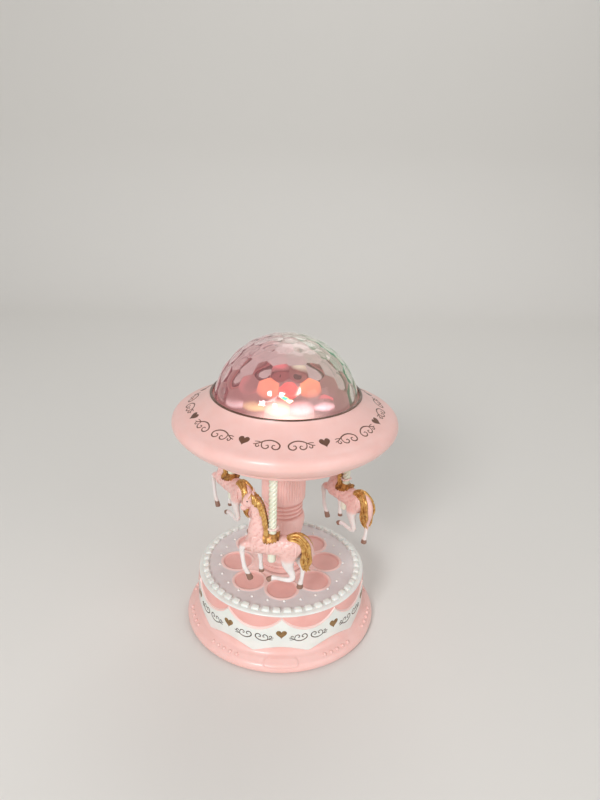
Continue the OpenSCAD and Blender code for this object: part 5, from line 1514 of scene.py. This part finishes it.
@dataclass
class Studio:
    """The pale sweep, the soft lamps and the camera."""

    eye: tuple[float, float, float] = (-6.84, -326.65, 264.593)
    yaw: float = 1.302
    pitch: float = 21.556
    roll: float = 2.070
    frame_turn: float = -1.2
    lens: float = 29.7
    half_width: float = 2600.0
    front_y: float = -1600.0
    bend_y: float = 700.0
    bend_r: float = 260.0
    top_z: float = 2400.0
    room_strength: float = 0.5
    # Name, place in metres, size in metres and power in watts of each soft lamp.
    lights: tuple[tuple[str, tuple[float, float, float], float, float], ...] = (
        ("key", (-0.42, -0.95, 0.65), 0.3, 7.4), ("fill", (0.8, -0.8, 0.45), 0.8, 3.0),
        ("back", (0.2, 0.8, 1.0), 0.7, 3.0))

    def sweep(self) -> None:
        """Builds the floor and backdrop as one sheet: flat, then a quarter turn, then upright."""
        across = np.linspace(-self.half_width, self.half_width, 40)
        bend = np.linspace(0, np.pi / 2, 24)
        y = np.concatenate([np.linspace(self.front_y, self.bend_y, 24), self.bend_y + self.bend_r
                            * np.sin(bend[1:]), np.full(8, self.bend_y + self.bend_r)])
        z = np.concatenate([np.zeros(24), self.bend_r - self.bend_r * np.cos(bend[1:]),
                            np.linspace(400, self.top_z, 8)])
        p = np.stack(np.broadcast_arrays(across[None], y[:, None], z[:, None]), -1)
        sheet = Piece("studio_sweep", "base", "white_plastic", [Finish.FLOOR])
        sheet.grid(p, wrap_columns=False)
        mesh = bpy.data.meshes.new("studio_sweep")
        mesh.from_pydata((sheet.vertices() * MM).tolist(), [], sheet.faces)
        mesh.shade_smooth()
        mesh.materials.append(material_of(Finish.FLOOR))
        item = bpy.data.objects.new("studio_sweep", mesh)
        bpy.context.scene.collection.objects.link(item)

    def lamps(self) -> None:
        """Places the soft lamps and an even world."""
        for name, at, size, power in self.lights:
            light = bpy.data.lights.new(name, "AREA")
            light.energy, light.size = power, size
            item = bpy.data.objects.new(name, light)
            item.location = at
            aim = np.array([0.0, 0.0, 0.09]) - np.array(at)
            item.rotation_euler = (
                math.acos(-aim[2] / np.linalg.norm(aim)), 0.0, math.atan2(aim[1], aim[0]) - math.pi / 2)
            bpy.context.scene.collection.objects.link(item)
        world = bpy.data.worlds.new("soft_room")
        world.use_nodes = True
        world.node_tree.nodes["Background"].inputs[0].default_value = linear("F2F0EE")
        world.node_tree.nodes["Background"].inputs[1].default_value = self.room_strength
        bpy.context.scene.world = world
        bpy.context.scene.view_settings.view_transform = "Standard"

    def camera(self) -> None:
        """Places the camera: forward, right and up from yaw, pitch and roll, turned into the part's frame."""
        yaw, pitch, roll = (math.radians(v) for v in (self.yaw, self.pitch, self.roll))
        forward = np.array(
            [math.sin(yaw) * math.cos(pitch), math.cos(yaw) * math.cos(pitch), -math.sin(pitch)])
        right = np.cross(forward, [0, 0, 1])
        right /= np.linalg.norm(right)
        up = np.cross(right, forward)
        right, up = right * math.cos(roll) + up * math.sin(roll), up * math.cos(roll) - right * math.sin(roll)
        axes = turn_z(np.array([right, up, -forward]), self.frame_turn)
        matrix = np.eye(4)
        matrix[:3, :3] = axes.T
        matrix[:3, 3] = np.array(self.eye) * MM
        lens = bpy.data.cameras.new("camera")
        lens.sensor_fit, lens.sensor_height, lens.sensor_width = "VERTICAL", 36.0, 36.0
        lens.lens = self.lens
        lens.clip_start = 0.01
        item = bpy.data.objects.new("camera", lens)
        item.matrix_world = matrix.T.tolist()
        bpy.context.scene.collection.objects.link(item)
        bpy.context.scene.camera = item

    def build(self) -> None:
        """Builds the stage."""
        self.sweep()
        self.lamps()
        self.camera()


def main() -> None:
    """Builds the music box and its stage in order."""
    logging.basicConfig(level=logging.INFO, format="%(name)s: %(message)s")
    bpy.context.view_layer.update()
    dress_nodes()
    Drum().build()
    Deck().build()
    Column().skin()
    Roof().build()
    Dome().build()
    horse = Horse()
    horse.sculpt()
    for name, place_deg, heading in (("front", -98.7, 174.0), ("right", 21.3, 130.0), ("left", 141.3, 128.0)):
        Pole(name, place_deg).build()
        horse.build(name, place_deg, heading)
    Studio().build()


if __name__ == "__main__":
    main()
